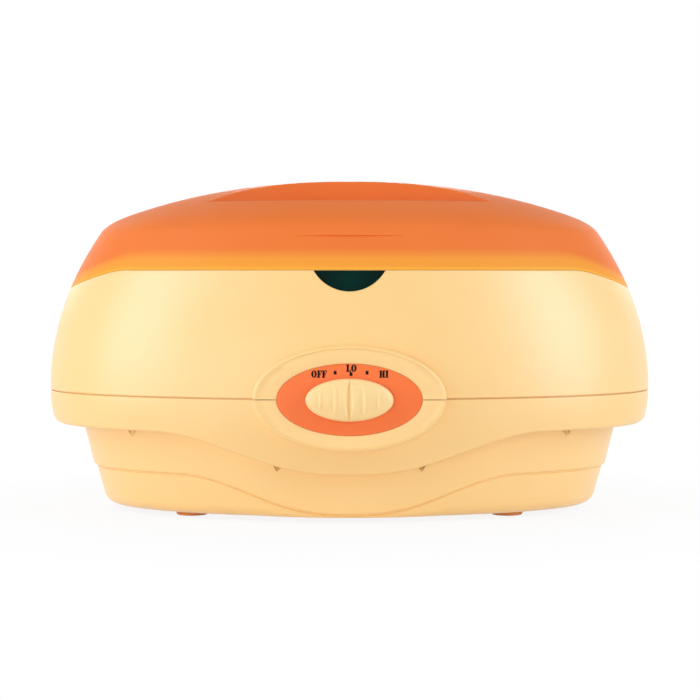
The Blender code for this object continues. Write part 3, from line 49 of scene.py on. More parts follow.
# Main sizes in millimetres. Heights are above the bench, and a reach is a distance forward of the middle.
bath = {
    "halfWidth": 186.0, "depthShare": 230 / 372, "wall": 2.5, "seamGap": 0.7,
    "baseZ": 3.0, "plinthZ": 27.4, "skirtZ": 53.0, "partingZ": 73.3, "lidEdgeZ": 147.0,
    "upperNarrowing": 18, "upperSpan": 74, "upperPower": 2.1, "lowerNarrowing": 2.9, "lowerSpan": 20.1,
    "waistStep": 17.5, "waistTaper": 6.1, "waistSpan": 25, "plinthStep": 1.6, "plinthTaper": 0.03,
    "dipSpan": 0.63, "dipPower": 1.4, "skirtDip": 24.0, "plinthDip": 22.1, "endDrop": 11.4, "endPower": 1.48,
    "edgeRound": 1.4, "endRound": 3.2, "plinthRound": 0.7, "baseRound": 6.2,
}
depthShare = bath["depthShare"]


def casingWidth(z):
    # half width: a power curve above the parting line, a parabola below it
    up = np.clip((z - bath["partingZ"]) / bath["upperSpan"], 0, None)
    down = np.clip((bath["partingZ"] - z) / bath["lowerSpan"], 0, None)
    upper = bath["upperNarrowing"] * up ** bath["upperPower"]
    return bath["halfWidth"] - upper - bath["lowerNarrowing"] * down**2


def waistWidth(z):
    # half width of the middle tier, which narrows evenly downwards
    taper = bath["waistTaper"] * (bath["skirtZ"] - z) / bath["waistSpan"]
    return casingWidth(bath["skirtZ"]) - bath["waistStep"] - taper


def plinthWidth(z):
    # half width of the lowest tier, a step inside the middle one
    return waistWidth(z) - bath["plinthStep"] - bath["plinthTaper"] * (bath["plinthZ"] - z)


def dip(angle):
    # a cosine wave to a power: 0 at the sides, 1 at the front and the back
    part = np.minimum(np.abs(np.cos(angle)) / bath["dipSpan"], 1)
    return 1 - ((1 - np.cos(pi * part)) / 2) ** bath["dipPower"]


def skirtEdge(angle):
    # height of the upper tier's lower edge: level at the sides, less the dip's share
    return bath["skirtZ"] - bath["skirtDip"] * dip(angle)


def plinthEdge(angle):
    # height of the middle tier's lower edge, on the same wave
    return bath["plinthZ"] - bath["plinthDip"] * dip(angle)


def nearEnds(angle, start=0.8, span=0.2):
    # 0 along the front and the back, rising evenly with the cosine to 1 at each end of the oval
    return np.clip((np.abs(np.cos(angle)) - start) / span, 0, None)


def lidEdge(angle):
    # level along the front, then a power curve down to each end of the oval
    return bath["lidEdgeZ"] - bath["endDrop"] * nearEnds(angle) ** bath["endPower"]


def gather(x, y, z):
    # points from three coordinates, each one value or an array
    return np.stack(np.broadcast_arrays(x, y, z), axis=-1)


def ovalRing(width, inset, angle, z):
    # an ellipse with the casing's share of depth to width, drawn in by an inset all round
    return gather((width - inset) * np.cos(angle), (width * depthShare - inset) * np.sin(angle), z)


def wallReach(x, z):
    # how far forward the wall stands: the depth of the ellipse at a height, at a distance across
    return depthShare * np.sqrt(np.clip(casingWidth(z) ** 2 - x**2, 0, None))


# Meshes from grids of points


def gridQuads(rows, cols, wrapRows=False, wrapCols=False):
    # four corners for each cell between neighbouring rows and columns
    r, c = np.meshgrid(
        np.arange(rows if wrapRows else rows - 1), np.arange(cols if wrapCols else cols - 1), indexing="ij"
    )
    nextR, nextC = (r + 1) % rows, (c + 1) % cols
    return np.stack([r * cols + c, r * cols + nextC, nextR * cols + nextC, nextR * cols + c], axis=-1)


def gridSkin(rows, wrapRows=False, wrapCols=False):
    # rows of points joined into cells, and closed on themselves where rows or columns wrap
    points = np.array(rows)
    quads = gridQuads(*points.shape[:2], wrapRows, wrapCols)
    return points.reshape(-1, 3), quads.reshape(-1, 4), []


def windowSkin(points, wrapRows, openings):
    # a wall that goes up one side and down the other, with blocks of cells taken out and the cut edges
    # closed: each opening has the runs of rows that it crosses and its first and last columns
    rows, cols = points.shape[:2]
    quads = gridQuads(rows, cols, wrapRows, True)
    keep = np.ones(quads.shape[:2], bool)
    lintels, caps = [], []
    for runs, left, right in openings:
        c = np.arange(left, right)
        for (first, last), (start, _) in zip(runs, runs[1:] + runs[:1]):
            keep[np.ix_(np.arange(first, last) % rows, c)] = False
            low, high = (start % rows) * cols, (last % rows) * cols
            lintels.append(np.stack([low + c, low + c + 1, high + c + 1, high + c], axis=-1))
        way = np.concatenate([np.arange(first, last + 1) for first, last in runs]) % rows * cols
        caps += [(way[::-1] + left).tolist(), (way + right).tolist()]
    return points.reshape(-1, 3), np.concatenate([quads[keep], *lintels]), caps


def rowAt(points, start, count, column, height):
    # the row, out of a run of rows, that comes nearest to a height in one column
    return start + int(np.argmin(np.abs(points[start:start + count, column, 2] - height)))


def turnedSkin(profile, centre, axis=(0, 0, 1), count=48, cross=None):
    # (radius, height) steps carried round an axis through a centre
    angle = np.linspace(0, 2 * pi, count, endpoint=False)
    axis, side = np.array(axis, float), np.array([1.0, 0, 0])
    other = np.cross(axis, side)
    radius, height = np.array(profile, float).T[:, :, None]
    u, v = radius * np.cos(angle), radius * np.sin(angle)
    height = height + 0 * u
    if cross:
        # the screwdriver's cross is pressed into the head's face
        arm, reach, depth = cross
        inside = (np.minimum(np.abs(u), np.abs(v)) < arm) & (radius < reach) & (height > 0)
        height = height - depth * inside
    steps = u[..., None] * side + v[..., None] * other + height[..., None] * axis
    return gridSkin(steps + np.array(centre, float), wrapCols=True)


def slabSkin(x, y, keep, low, high):
    # a level plate from a grid of cells, with walls wherever a kept cell borders one that is left out
    rows, cols = x.shape
    cells, count = gridQuads(rows, cols), x.size
    border = np.pad(keep, 1)
    quads = [cells[keep] + count, cells[keep][:, ::-1]]
    for stepR, stepC, a, b in ((-1, 0, 0, 1), (0, 1, 1, 2), (1, 0, 2, 3), (0, -1, 3, 0)):
        side = cells[keep & ~border[1 + stepR:rows + stepR, 1 + stepC:cols + stepC]]
        quads.append(np.stack([side[:, a], side[:, b], side[:, b] + count, side[:, a] + count], axis=-1))
    levels = [gather(x, y, z).reshape(-1, 3) for z in (low, high)]
    return np.concatenate(levels), np.concatenate(quads), []


def boxRing(wide, high, corner, y, middleZ, count=64):
    # an upright rectangle with round corners, at a distance behind the middle
    turn = (np.arange(count) + 0.5) * 2 * pi / count
    x = np.sign(np.cos(turn)) * (wide - corner) + corner * np.cos(turn)
    z = np.sign(np.sin(turn)) * (high - corner) + corner * np.sin(turn)
    return gather(x, y, middleZ + z)


def blockSkin(low, high):
    # a box between two opposite corners, whose level faces meet in their middles
    corners = np.array([[(x, y, z) for x, y in ((0, 0), (1, 0), (1, 1), (0, 1))] for z in (0, 0, 1, 1)], float)
    corners[0, :, :2] = corners[3, :, :2] = 0.5
    return gridSkin(np.array(low) + corners * (np.array(high, float) - np.array(low)), wrapCols=True)


def arc(start, end, centre, steps=6):
    # a quarter ellipse from start to end round a centre, as (inset, height) steps
    turn = np.linspace(0, pi / 2, steps)
    a, b, c = (np.array(p, float) for p in (start, end, centre))
    return [tuple(c + (a - c) * math.cos(t) + (b - c) * math.sin(t)) for t in turn]


def weld(points, quads, caps, cell=0.002, shift=0.37):
    # points in one small cell become one, and a quad with two equal corners becomes a triangle
    keys = np.floor(points / cell + shift).astype(np.int64)
    _, first, place = np.unique(keys, axis=0, return_index=True, return_inverse=True)
    place = place.reshape(-1)
    quads = place[quads]
    same = quads == np.roll(quads, -1, axis=1)
    tris = quads[same.sum(1) == 1]
    tris = tris[~same[same.sum(1) == 1]].reshape(-1, 3)
    tris = tris[(tris[:, 0] != tris[:, 1]) & (tris[:, 1] != tris[:, 2]) & (tris[:, 2] != tris[:, 0])]
    quads = quads[same.sum(1) == 0]
    quads = quads[(quads[:, 0] != quads[:, 2]) & (quads[:, 1] != quads[:, 3])]
    return points[first], quads, tris, [place[cap].tolist() for cap in caps]


def skinVolume(points, quads, tris, caps):
    # the sum of the tetrahedra between the origin and each triangle, negative for a skin turned inwards
    fans = [quads[:, [0, 1, 2]], quads[:, [0, 2, 3]], tris]
    fans += [np.array([[cap[0], b, c] for b, c in zip(cap[1:], cap[2:])]) for cap in caps]
    a, b, c = points[np.concatenate(fans)].transpose(1, 0, 2)
    return np.einsum("ij,ij->", a, np.cross(b, c)) / 6


def addObject(name, data):
    # an object put into the scene
    made = bpy.data.objects.new(name, data)
    bpy.context.scene.collection.objects.link(made)
    return made


def addPiece(name, skins, finish, replaces=(), body="base", slot=None, crease=35, measure=None):
    # one mesh from closed skins in millimetres, each turned outwards; its slot is not used
    corners, faces, start = [], [], 0
    for skin in skins:
        points, quads, tris, caps = weld(*skin)
        step = -1 if skinVolume(points, quads, tris, caps) < 0 else 1
        faces += (quads[:, ::step] + start).tolist() + (tris[:, ::step] + start).tolist()
        faces += [[i + start for i in cap[::step]] for cap in caps]
        corners.append(points)
        start += len(points)
    corners = np.concatenate(corners)
    mesh = bpy.data.meshes.new(name)
    mesh.from_pydata((corners * mm + (0, middleY, 0)).tolist(), [], faces)
    mesh.shade_smooth()
    mesh.set_sharp_from_angle(angle=math.radians(crease))
    if measure:
        attribute = mesh.attributes.new(measure[0], "FLOAT", "POINT")
        attribute.data.foreach_set("value", measure[1](corners).astype(np.float32))
    mesh.materials.append(finishes[finish])
    made = addObject(name, mesh)
    slot = slot or finish
    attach(made, body)
    if replaces:
        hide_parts(*replaces)


# Materials


def toLinear(code):
    # an sRGB hex value as linear light
    shares = [int(code[i:i + 2], 16) / 255 for i in (1, 3, 5)]
    return (*[s / 12.92 if s <= 0.04045 else ((s + 0.055) / 1.055) ** 2.4 for s in shares], 1)


def addNode(tree, kind, values=None, links=None, **settings):
    # a shader node with its settings, its socket values and the sockets that feed it
    node = tree.nodes.new("ShaderNode" + kind)
    for key, value in settings.items():
        setattr(node, key, value)
    for key, value in (values or {}).items():
        node.inputs[key].default_value = value
    for key, source in (links or {}).items():
        tree.links.new(source, node.inputs[key])
    return node


def startMaterial(name, **sockets):
    # a new material with values on its shader's sockets, and the place on the piece that patterns read
    made = bpy.data.materials.new(name)
    made.use_nodes = True
    tree = made.node_tree
    shader = tree.nodes["Principled BSDF"]
    for key, value in sockets.items():
        shader.inputs[key.replace("_", " ")].default_value = value
    place = addNode(tree, "TexCoord").outputs["Object"]
    return made, tree, shader, place


def colourDrift(tree, place, first, second, size, detail=2.0):
    # two shades that pass into each other over patches of a size in metres
    noise = addNode(tree, "TexNoise", {"Scale": 1 / size, "Detail": detail}, {"Vector": place})
    spread = addNode(
        tree, "MapRange", {"From Min": 0.3, "From Max": 0.7}, {"Value": noise.outputs["Fac"]}
    )
    mix = addNode(tree, "Mix", None, {"Factor": spread.outputs["Result"]}, data_type="RGBA")
    mix.inputs[6].default_value, mix.inputs[7].default_value = toLinear(first), toLinear(second)
    return mix.outputs[2]


def grain(tree, shader, place, size, depth, strength=0.35, stretch=None):
    # a fine raised texture whose bumps are a size across and a depth high, in metres
    if stretch:
        place = addNode(tree, "Mapping", {"Scale": stretch}, {"Vector": place}).outputs["Vector"]
    noise = addNode(tree, "TexNoise", {"Scale": 1 / size, "Detail": 3.0}, {"Vector": place})
    bump = addNode(
        tree, "Bump", {"Strength": strength, "Distance": depth}, {"Height": noise.outputs["Fac"]}
    )
    tree.links.new(bump.outputs["Normal"], shader.inputs["Normal"])
    return noise.outputs["Fac"]


def roughDrift(tree, shader, source, middle, spread):
    # roughness that follows a pattern, by a spread either way of its middle value
    ends = {"From Min": 0.3, "From Max": 0.7, "To Min": middle - spread, "To Max": middle + spread}
    drift = addNode(tree, "MapRange", ends, {"Value": source})
    tree.links.new(drift.outputs["Result"], shader.inputs["Roughness"])


def plastic(name, first, second, roughness, grainSize=0.0009, grainDepth=0.00002, ior=1.53, **sockets):
    # moulded thermoplastic: even colour, with the fine spark-eroded grain of its tool
    made, tree, shader, place = startMaterial(name, IOR=ior, **sockets)
    tree.links.new(colourDrift(tree, place, first, second, 0.05), shader.inputs["Base Color"])
    pattern = grain(tree, shader, place, grainSize, grainDepth)
    roughDrift(tree, shader, pattern, roughness, 0.04)
    return made


def metal(name, first, second, roughness, stretch=(1, 1, 1)):
    # worked metal: marks of rolling, drawing or turning, 0.8 mm apart so that they show
    made, tree, shader, place = startMaterial(name, Metallic=1.0)
    tree.links.new(colourDrift(tree, place, first, second, 0.02, 4.0), shader.inputs["Base Color"])
    pattern = grain(tree, shader, place, 0.0008, 0.00001, 0.4, stretch)
    roughDrift(tree, shader, pattern, roughness, 0.07)
    return made


lidLook = {
    "body": "#f37c39", "bodyDrift": "#f57f3d", "band": "#ffb13e", "roughness": 0.45,
    "fades": ((0.07, 1), (0.13, 0.62), (0.42, 0.55)), "bandEnd": 0.78,
}


def lidPlastic():
    # polypropylene, moulded and translucent: the casing's collar shows through as a lighter, yellower band
    made, tree, shader, place = startMaterial("translucentPolypropylene", IOR=1.49, Specular_IOR_Level=0.06)
    over = addNode(tree, "Attribute", attribute_name="overEdge").outputs["Fac"]
    ramp = addNode(tree, "ValToRGB", links={"Fac": over})
    stops = ramp.color_ramp.elements
    stops[0].position, stops[0].color = 0.0, (1, 1, 1, 1)
    stops[1].position, stops[1].color = lidLook["bandEnd"], (0, 0, 0, 1)
    for height, share in lidLook["fades"]:
        stops.new(height).color = (share, share, share, 1)
    mix = addNode(tree, "Mix", None, {"Factor": ramp.outputs["Color"]}, data_type="RGBA")
    tree.links.new(colourDrift(tree, place, lidLook["body"], lidLook["bodyDrift"], 0.06), mix.inputs[6])
    mix.inputs[7].default_value = toLinear(lidLook["band"])
    tree.links.new(mix.outputs[2], shader.inputs["Base Color"])
    pattern = grain(tree, shader, place, 0.0011, 0.000015, 0.3)
    roughDrift(tree, shader, pattern, lidLook["roughness"], 0.03)
    return made


# the lens's own dark colour at its edge, and a painted green glow at its middle for the lamps lit behind it
lensGlowLook = {"edge": "#060b09", "middle": "#022a23", "centre": (0, 0, -6.1), "spread": (34, 0, 43)}


def lensPlasticWithPaintedGlow():
    # smoked acrylic, polished: nearly black, with a painted green glow in the middle that stands in for the
    # lamps lit behind it
    made, tree, shader, place = startMaterial(
        "smokedAcrylicPaintedGlow", IOR=1.49, Roughness=0.12, Specular_IOR_Level=0.05
    )
    shift = {"Location": lensGlowLook["centre"], "Scale": lensGlowLook["spread"]}
    centred = addNode(tree, "Mapping", shift, {"Vector": place}).outputs["Vector"]
    # painted glow: a round gradient from the dark edge to the green middle
    glow = addNode(tree, "TexGradient", None, {"Vector": centred}, gradient_type="SPHERICAL")
    mix = addNode(tree, "Mix", None, {"Factor": glow.outputs["Fac"]}, data_type="RGBA")
    mix.inputs[6].default_value = toLinear(lensGlowLook["edge"])
    mix.inputs[7].default_value = toLinear(lensGlowLook["middle"])
    tree.links.new(mix.outputs[2], shader.inputs["Base Color"])
    return made


# Each has its colours and roughness, its grain where that isn't usual, and what it gives the eye
finishes = {
    # a warm cream with the broad, soft shine of a polished tool
    "casing": plastic("creamAbs", "#fdcc7e", "#fece82", 0.42, Coat_Weight=0.65, Coat_Roughness=0.38),
    "knob": plastic("creamPomKnob", "#ffd58e", "#ffd792", 0.42),  # the same cream, waxier and less shiny
    "lid": lidPlastic(),
    "dial": plastic("orangeAbs", "#fd7638", "#fd793b", 0.45, Specular_IOR_Level=0.25),  # flat bright orange
    "mark": plastic("blackPadInk", "#0c0807", "#120c0a", 0.6, Specular_IOR_Level=0.1),  # matt black print
    "lens": lensPlasticWithPaintedGlow(),
    "tank": metal("anodisedAluminium", "#c3c5c6", "#cdcecf", 0.34, (1, 1, 0.12)),  # drawn, streaked upwards
    "grille": plastic("heatProofNylon", "#efe3cc", "#f3e8d4", 0.5),  # dull ivory
    "steel": metal("zincPlatedSteel", "#b4b6b2", "#c4c2b8", 0.36),  # grey with a faint yellow cast
    "brass": metal("turnedBrass", "#c8a35a", "#d4b26c", 0.32, (1, 6, 1)),  # fine rings round a yellow rod
    "rubber": plastic("mouldedRubber", "#f39a5a", "#f8a262", 0.78, 0.0012, 0.00004, 1.52),  # chalky orange
    "black": plastic("blackPbt", "#1d1d1f", "#232325", 0.45),  # black with a low sheen
    "fibre": plastic("ceramicFibreBoard", "#e2dccb", "#d2cab6", 0.95, 0.0016, 0.0002, 1.5),  # felted, dull
    "copper": metal("drawnCopper", "#c67a52", "#b96d47", 0.34),  # tarnished red-brown
    "nylon": plastic("naturalNylon", "#e9e4d6", "#e2dccb", 0.48),  # milky white
    "silicone": plastic("redSilicone", "#a83a2a", "#b04130", 0.6, 0.0012, 0.00002, 1.41),  # brick red, dull
    "board": plastic("glassFibreBoard", "#2b5f3d", "#316845", 0.45, 0.0007, 0.00004, 1.55),  # green, woven
    "lamp": plastic("diffusedResin", "#e39a58", "#e8a565", 0.2, 0.0012, 0.00001, 1.55),  # smooth amber
    # shiny insulation in the colours that wires have
    "wireBrown": plastic("brownPvc", "#774729", "#7d4c2d", 0.42),
    "wireBlue": plastic("bluePvc", "#335ca4", "#3862aa", 0.42),
    "wireGreen": plastic("greenYellowPvc", "#5b8a3a", "#c9c23a", 0.42),
    "wireWhite": plastic("whitePvc", "#e0ddd4", "#e6e3da", 0.42),
}
print("materials made")

# Casing, its openings as half width and half height, and the wells of its screws
cuts = {"dial": (40.0, 18.0), "dialZ": 73.3, "inlet": (18.0, 11.8), "inletZ": 51.0}
screws = {
    "outer": 0.694, "inner": 0.226, "wellRadius": 3.6, "bite": 0.9, "depth": 2.0, "notchHalf": 3.2,
    "notchHigh": 4.8, "notchDeep": 3.0, "fineSpan": 0.034, "fineStep": 0.0017, "seat": 1.7,
    "size": (3.0, 2.2, 1.5, 16),
}


def denseAngles(count, centres):
    # even steps round the oval, with fine ones near some angles
    even = np.linspace(0, 2 * pi, count, endpoint=False)
    span, step = screws["fineSpan"], screws["fineStep"]
    near = [np.abs((even - c + pi) % (2 * pi) - pi) < span for c in centres]
    fine = [c + np.arange(-span, span + step / 2, step) for c in centres]
    return np.sort(np.concatenate([even[~np.any(near, axis=0)], *fine]) % (2 * pi))


def screwPlaces():
    # name, x, y and ledge height of each casing screw, whose well just bites into the middle tier's wall
    places = []
    for row in ("outer", "inner"):
        x = screws[row] * bath["halfWidth"]
        y = depthShare * math.sqrt(waistWidth(skirtEdge(math.acos(screws[row]))) ** 2 - x**2)
        y += screws["wellRadius"] - screws["bite"]
        edge = float(skirtEdge(math.atan2(y / depthShare, x)))
        places += [(f"{end}_{side}_{row}", sx * x, sy * y, edge)
                   for end, sy in (("front", -1), ("rear", 1)) for side, sx in (("left", -1), ("right", 1))]
    return places


def cutColumns(angle, half, end):
    # the first and last columns of an opening of a half width, at the front (-1) or the back (1)
    x = bath["halfWidth"] * np.cos(angle)
    inside = np.flatnonzero((end * np.sin(angle) > 0) & (np.abs(x) < half))
    return int(inside[0]), int(inside[-1])


def lowerCasing():
    # rings of the section, from the middle of the floor up the inside, over the seam and down the three tiers
    places = screwPlaces()
    angle = denseAngles(300, [math.atan2(y / depthShare, x) % (2 * pi) for _, x, y, _ in places])
    skirt, plinth = skirtEdge(angle), plinthEdge(angle)
    baseZ, wall = bath["baseZ"], bath["wall"]
    edge = bath["edgeRound"] + bath["endRound"] * nearEnds(angle) ** 2
    corner = np.minimum(bath["baseRound"], (plinth - baseZ) / 2.4)
    seam = bath["partingZ"] - bath["seamGap"] / 2
    rows = []

    def add(width, z, inset=0.0, scale=1.0):
        # one ring, of one height or a height for each column
        z = z + 0 * angle
        ring = ovalRing(width(z), inset, angle, z)
        ring[:, :2] *= scale
        rows.append(ring)

    for scale in (0, 0.35, 0.7, 1):
        add(plinthWidth, baseZ + wall, wall, scale)
    add(plinthWidth, plinth + wall, wall)
    add(waistWidth, plinth + wall + edge, wall)
    add(waistWidth, skirt + wall, wall)
    innerStart = len(rows)
    shares = np.linspace(0, 1, 25)
    innerTop = seam - 5
    for share in shares[::-1]:
        add(casingWidth, innerTop + share * (skirt + wall + edge - innerTop), wall)
    # a tongue inside the wall holds the two halves in line, and a groove outside marks the seam
    lip = seam + bath["seamGap"] - 0.1
    for z, inset in ((seam - 3, 4.3), (seam + 3, 4.3), (seam + 3, 2.8), (lip, 2.8), (lip, 2.0), (seam, 2.0),
                     (seam, 0.35)):
        add(casingWidth, z, inset)
    outerStart, outerTop = len(rows), seam - 0.35
    for share in shares:
        add(casingWidth, outerTop + share * (skirt + edge - outerTop))
    for inset, z in arc((0, 1), (1, 0), (1, 1))[1:]:
        add(casingWidth, skirt + edge * z, edge * inset)
    ledgeStart = len(rows)
    outerWidth, innerWidth = casingWidth(skirt), waistWidth(skirt)
    for share in np.linspace(0, 1, 24)[1:-1]:
        wide = (1 - share) * (outerWidth - edge) + share * innerWidth
        deep = (1 - share) * (outerWidth * depthShare - edge) + share * innerWidth * depthShare
        rows.append(gather(wide * np.cos(angle), deep * np.sin(angle), skirt))
    waistStart = len(rows)
    for drop in np.linspace(0, 6, 13):
        add(waistWidth, skirt - drop)
    reach = skirt - 6 - plinth - bath["plinthRound"]
    for share in np.linspace(0, 1, 14)[1:]:
        add(waistWidth, skirt - 6 - share * reach)
    waistEnd = len(rows)
    for inset, z in arc((0, 1), (1, 0), (1, 1))[1:]:
        add(waistWidth, plinth + bath["plinthRound"] * z, bath["plinthRound"] * inset)
    # a shallow line is let in under the middle tier's edge
    for drop, inset in ((0.3, 0.5), (1.0, 0.5), (1.4, 0)):
        add(plinthWidth, plinth - drop, inset)
    plinthFall = plinth - 1.4 - baseZ - corner
    for share in np.linspace(0, 1, 10)[1:]:
        add(plinthWidth, plinth - 1.4 - share * plinthFall)
    for turn in np.linspace(0, pi / 2, 7)[1:]:
        add(plinthWidth, baseZ + corner * (1 - math.sin(turn)), corner * (1 - math.cos(turn)))
    rows += [rows[-1] * (scale, scale, 1) for scale in (0.7, 0.35, 0)]
    points = np.array(rows)
    for _, x, y, _ in places:
        # the screw's well is a round hole up into the ledge, with a notch in the wall that narrows downwards
        away = np.hypot(points[..., 0] - x, points[..., 1] - y)
        roof = points[ledgeStart:waistStart]
        roof[..., 2] += screws["depth"] * (away[ledgeStart:waistStart] < screws["wellRadius"])
        side = points[waistStart:waistEnd]
        left = 1 - (skirt - side[..., 2]) / screws["notchHigh"]
        inside = screws["notchHalf"] * left - np.abs(side[..., 0] - x)
        deep = np.minimum(5 * inside, screws["notchDeep"] * left)
        side[..., 1] -= math.copysign(1, y) * np.where(side[..., 1] * y > 0, np.clip(deep, 0, None), 0)
    middle = int(np.argmin(np.abs(angle - 1.5 * pi)))
    behind = cutColumns(angle, cuts["inlet"][0], 1)
    sill, runs = [], []
    for start in (innerStart, outerStart):
        sill.append(rowAt(points, start, len(shares), middle, cuts["dialZ"] - cuts["dial"][1]))
        z = points[start:start + len(shares), behind[0], 2]
        crossed = start + np.flatnonzero(np.abs(z - cuts["inletZ"]) < cuts["inlet"][1])
        runs.append((int(crossed[0]), int(crossed[-1])))
    openings = [([tuple(sill)], *cutColumns(angle, cuts["dial"][0], -1)), (runs, *behind)]
    addPiece("lowerCasing", [windowSkin(points, False, openings)], "casing", ["lower_housing"])


collar = {"z": 155.1, "inset": 3.7, "seatInset": 11.7, "round": 0.6, "edgeRound": 0.5}


def upperCasing():
    # rings of the section: up the outside from the seam, over the lid's seat and collar, and down the inside
    angle = np.linspace(0, 2 * pi, 400, endpoint=False)
    edgeZ, wall, edge = lidEdge(angle), bath["wall"], collar["edgeRound"]
    seam = bath["partingZ"] + bath["seamGap"] / 2
    collarZ, collarInset, turn = collar["z"], collar["inset"], collar["round"]
    collarWidth = casingWidth(collarZ)
    rows = []

    def add(z, inset=0.0, width=None):
        # one ring, of the wall's own width or of one that is given
        z = z + 0 * angle
        rows.append(ovalRing(casingWidth(z) if width is None else width, inset, angle, z))

    add(seam, 0.35)
    outerStart, shares = len(rows), np.linspace(0, 1, 41)
    for share in shares:
        add(seam + 0.35 + share * (edgeZ - edge - seam - 0.35))
    for inset, z in arc((0, -edge), (edge, 0), (edge, -edge), 4)[1:]:
        add(edgeZ + z, inset)
    add(edgeZ, collarInset)
    add(collarZ - turn, collarInset, collarWidth)
    for inset, z in arc((0, -turn), (turn, 0), (turn, -turn), 4)[1:]:
        add(collarZ + z, collarInset + inset, collarWidth)
    add(collarZ, collar["seatInset"], collarWidth)
    add(collarZ - wall, collar["seatInset"], collarWidth)
    add(collarZ - wall, collarInset + wall, collarWidth)
    add(edgeZ - wall, collarInset + wall)
    innerStart = len(rows)
    for share in shares[::-1]:
        add(seam + 0.35 + share * (edgeZ - wall - edge - seam - 0.35), wall)
    add(seam, wall)
    points = np.array(rows)
    middle = int(np.argmin(np.abs(angle - 1.5 * pi)))
    outer, inner = (rowAt(points, start, len(shares), middle, cuts["dialZ"] + cuts["dial"][1])
                    for start in (outerStart, innerStart))
    opening = ([(inner, len(rows) + outer)], *cutColumns(angle, cuts["dial"][0], -1))
    addPiece("upperCasing", [windowSkin(points, True, [opening])], "casing", ["upper_housing"])


lowerCasing()
upperCasing()
print("casing made")

# Control: the raised oval in two halves, the dial plate with its marks, and the knob
control = {
    "z": 73.3, "bossZ": 73.9, "bossWidth": 55.3, "bossHeight": 30.5, "bossRound": 1.8, "bossBack": 113.0,
    "faceReach": 117.6, "bury": 1.6, "rim": 0.5, "seamGap": 0.4,
    "dialWidth": 41.5, "dialHeight": 20.5, "dialReach": 117.0, "dialGap": 0.1, "flange": 2.0,
    "slotWidth": 22.6, "slotHeight": 2.5,
    "hookX": 27.0, "hookArm": (9.4, 11.2), "hookLip": (7.6, 10.1), "hookHalf": 7, "hookBack": 98.9,
    "lips": ((100.4, 99.0), (104.1, 102.7)), "lipHalf": 6.7,
}


def halfBoss(name, upper):
    # ovals round the control's centre, cut level at the parting line
    cut = bath["partingZ"] + (1 if upper else -1) * control["seamGap"] / 2
    wide, high, turn = control["bossWidth"], control["bossHeight"], control["bossRound"]
    face, gap = control["faceReach"], control["dialGap"]
    steps = [(0, None), (0, face - turn - 1)]
    steps += [(inset, face + z) for inset, z in arc((0, -turn), (turn, 0), (turn, -turn), 8)]
    innerInset = wide - control["dialWidth"] - gap
    face -= control["rim"]
    steps += [(turn + 1.2, face), (innerInset / 2, face), (innerInset - 0.4, face)]
    steps += [(innerInset + i, face + z) for i, z in arc((-0.4, 0), (0, -0.4), (-0.4, -0.4), 4)[1:]]
    steps += [(innerInset, control["bossBack"])]
    t = np.linspace(0, 1, 121)
    rows = []
    for inset, reach in steps:
        # the oval opening is a little rounder than the boss, so the height narrows by its own share
        share = inset / innerInset
        w = wide - inset
        h = high - inset if inset <= turn else high - share * (high - control["dialHeight"] - gap)
        middle = control["bossZ"] + min(max(share, 0), 1) * (control["z"] - control["bossZ"])
        begin = math.asin((cut - middle) / h)
        angle = begin + t * (pi - 2 * begin) if upper else begin - t * (pi + 2 * begin)
        x, z = w * np.cos(angle), middle + h * np.sin(angle)
        rows.append(gather(x, -(wallReach(x, z) - control["bury"] if reach is None else reach), z))
    corners, quads, _ = gridSkin(rows, wrapRows=True)
    ring = np.arange(len(rows)) * len(t)
    caps = [ring[::-1].tolist(), (ring + len(t) - 1).tolist()]
    addPiece(name, [(corners, quads, caps)], "casing")


def slabRing(width, height, reach, power=2.0, count=160):
    # an upright oval at a reach: power 2 is an ellipse, and a higher power is a rounder-cornered slot
    turn = np.linspace(0, 2 * pi, count, endpoint=False)
    x = width * np.sign(np.cos(turn)) * np.abs(np.cos(turn)) ** (2 / power)
    z = height * np.sign(np.sin(turn)) * np.abs(np.sin(turn)) ** (2 / power)
    return gather(x, -reach, control["z"] + z)


def dialPlate():
    # a stepped oval plate with a slot along its middle, and the hooks behind it that guide the shutter
    w, h, reach = control["dialWidth"], control["dialHeight"], control["dialReach"]
    slotW, slotH, flange = control["slotWidth"], control["slotHeight"], control["flange"]
    front, back = reach - 1.5, reach - 3.0
    rows = [slabRing(slotW + i, slotH + i, r, 8) for i, r in ((0, back), (0, reach - 0.2), (0.2, reach))]
    rows += [slabRing(w - i, h - i, reach + z) for i, z in arc((0.3, 0), (0, -0.3), (0.3, -0.3), 4)]
    rows += [slabRing(w + i, h + i, r) for i, r in ((0, front), (flange, front), (flange, back))]
    skins = [gridSkin(rows, True, True)]
    half, lipHalf = control["hookHalf"], control["lipHalf"]
    for side in (-1, 1):
        arm, lip = (sorted(control["z"] + side * v for v in control[key]) for key in ("hookArm", "hookLip"))
        for x in (-control["hookX"], control["hookX"]):
            skins.append(blockSkin((x - half, -back - 0.7, arm[0]), (x + half, -control["hookBack"], arm[1])))
            skins += [blockSkin((x - lipHalf, -near, lip[0]), (x + lipHalf, -far, lip[1]))
                      for near, far in control["lips"]]
    addPiece("dialPlate", skins, "dial", ["dial_plate"])


marks = {
    "height": 4.1, "stroke": 1.15, "hair": 0.48, "gap": 0.12, "rise": 0.07, "sink": 0.3,
    "words": (("OFF", -17.3, 88.0), ("LO", 1.1, 91.35), ("HI", 19.5, 88.0)),
    "dots": ((-8.1, 88.8), (0.9, 88.0), (10.0, 88.8)), "dot": (0.8, 1.05),
    "widths": {"O": 3.1, "F": 2.7, "L": 2.7, "H": 3.3, "I": 1.7},
}
inkNear, inkFar = -control["dialReach"] - marks["rise"], -control["dialReach"] + marks["sink"]


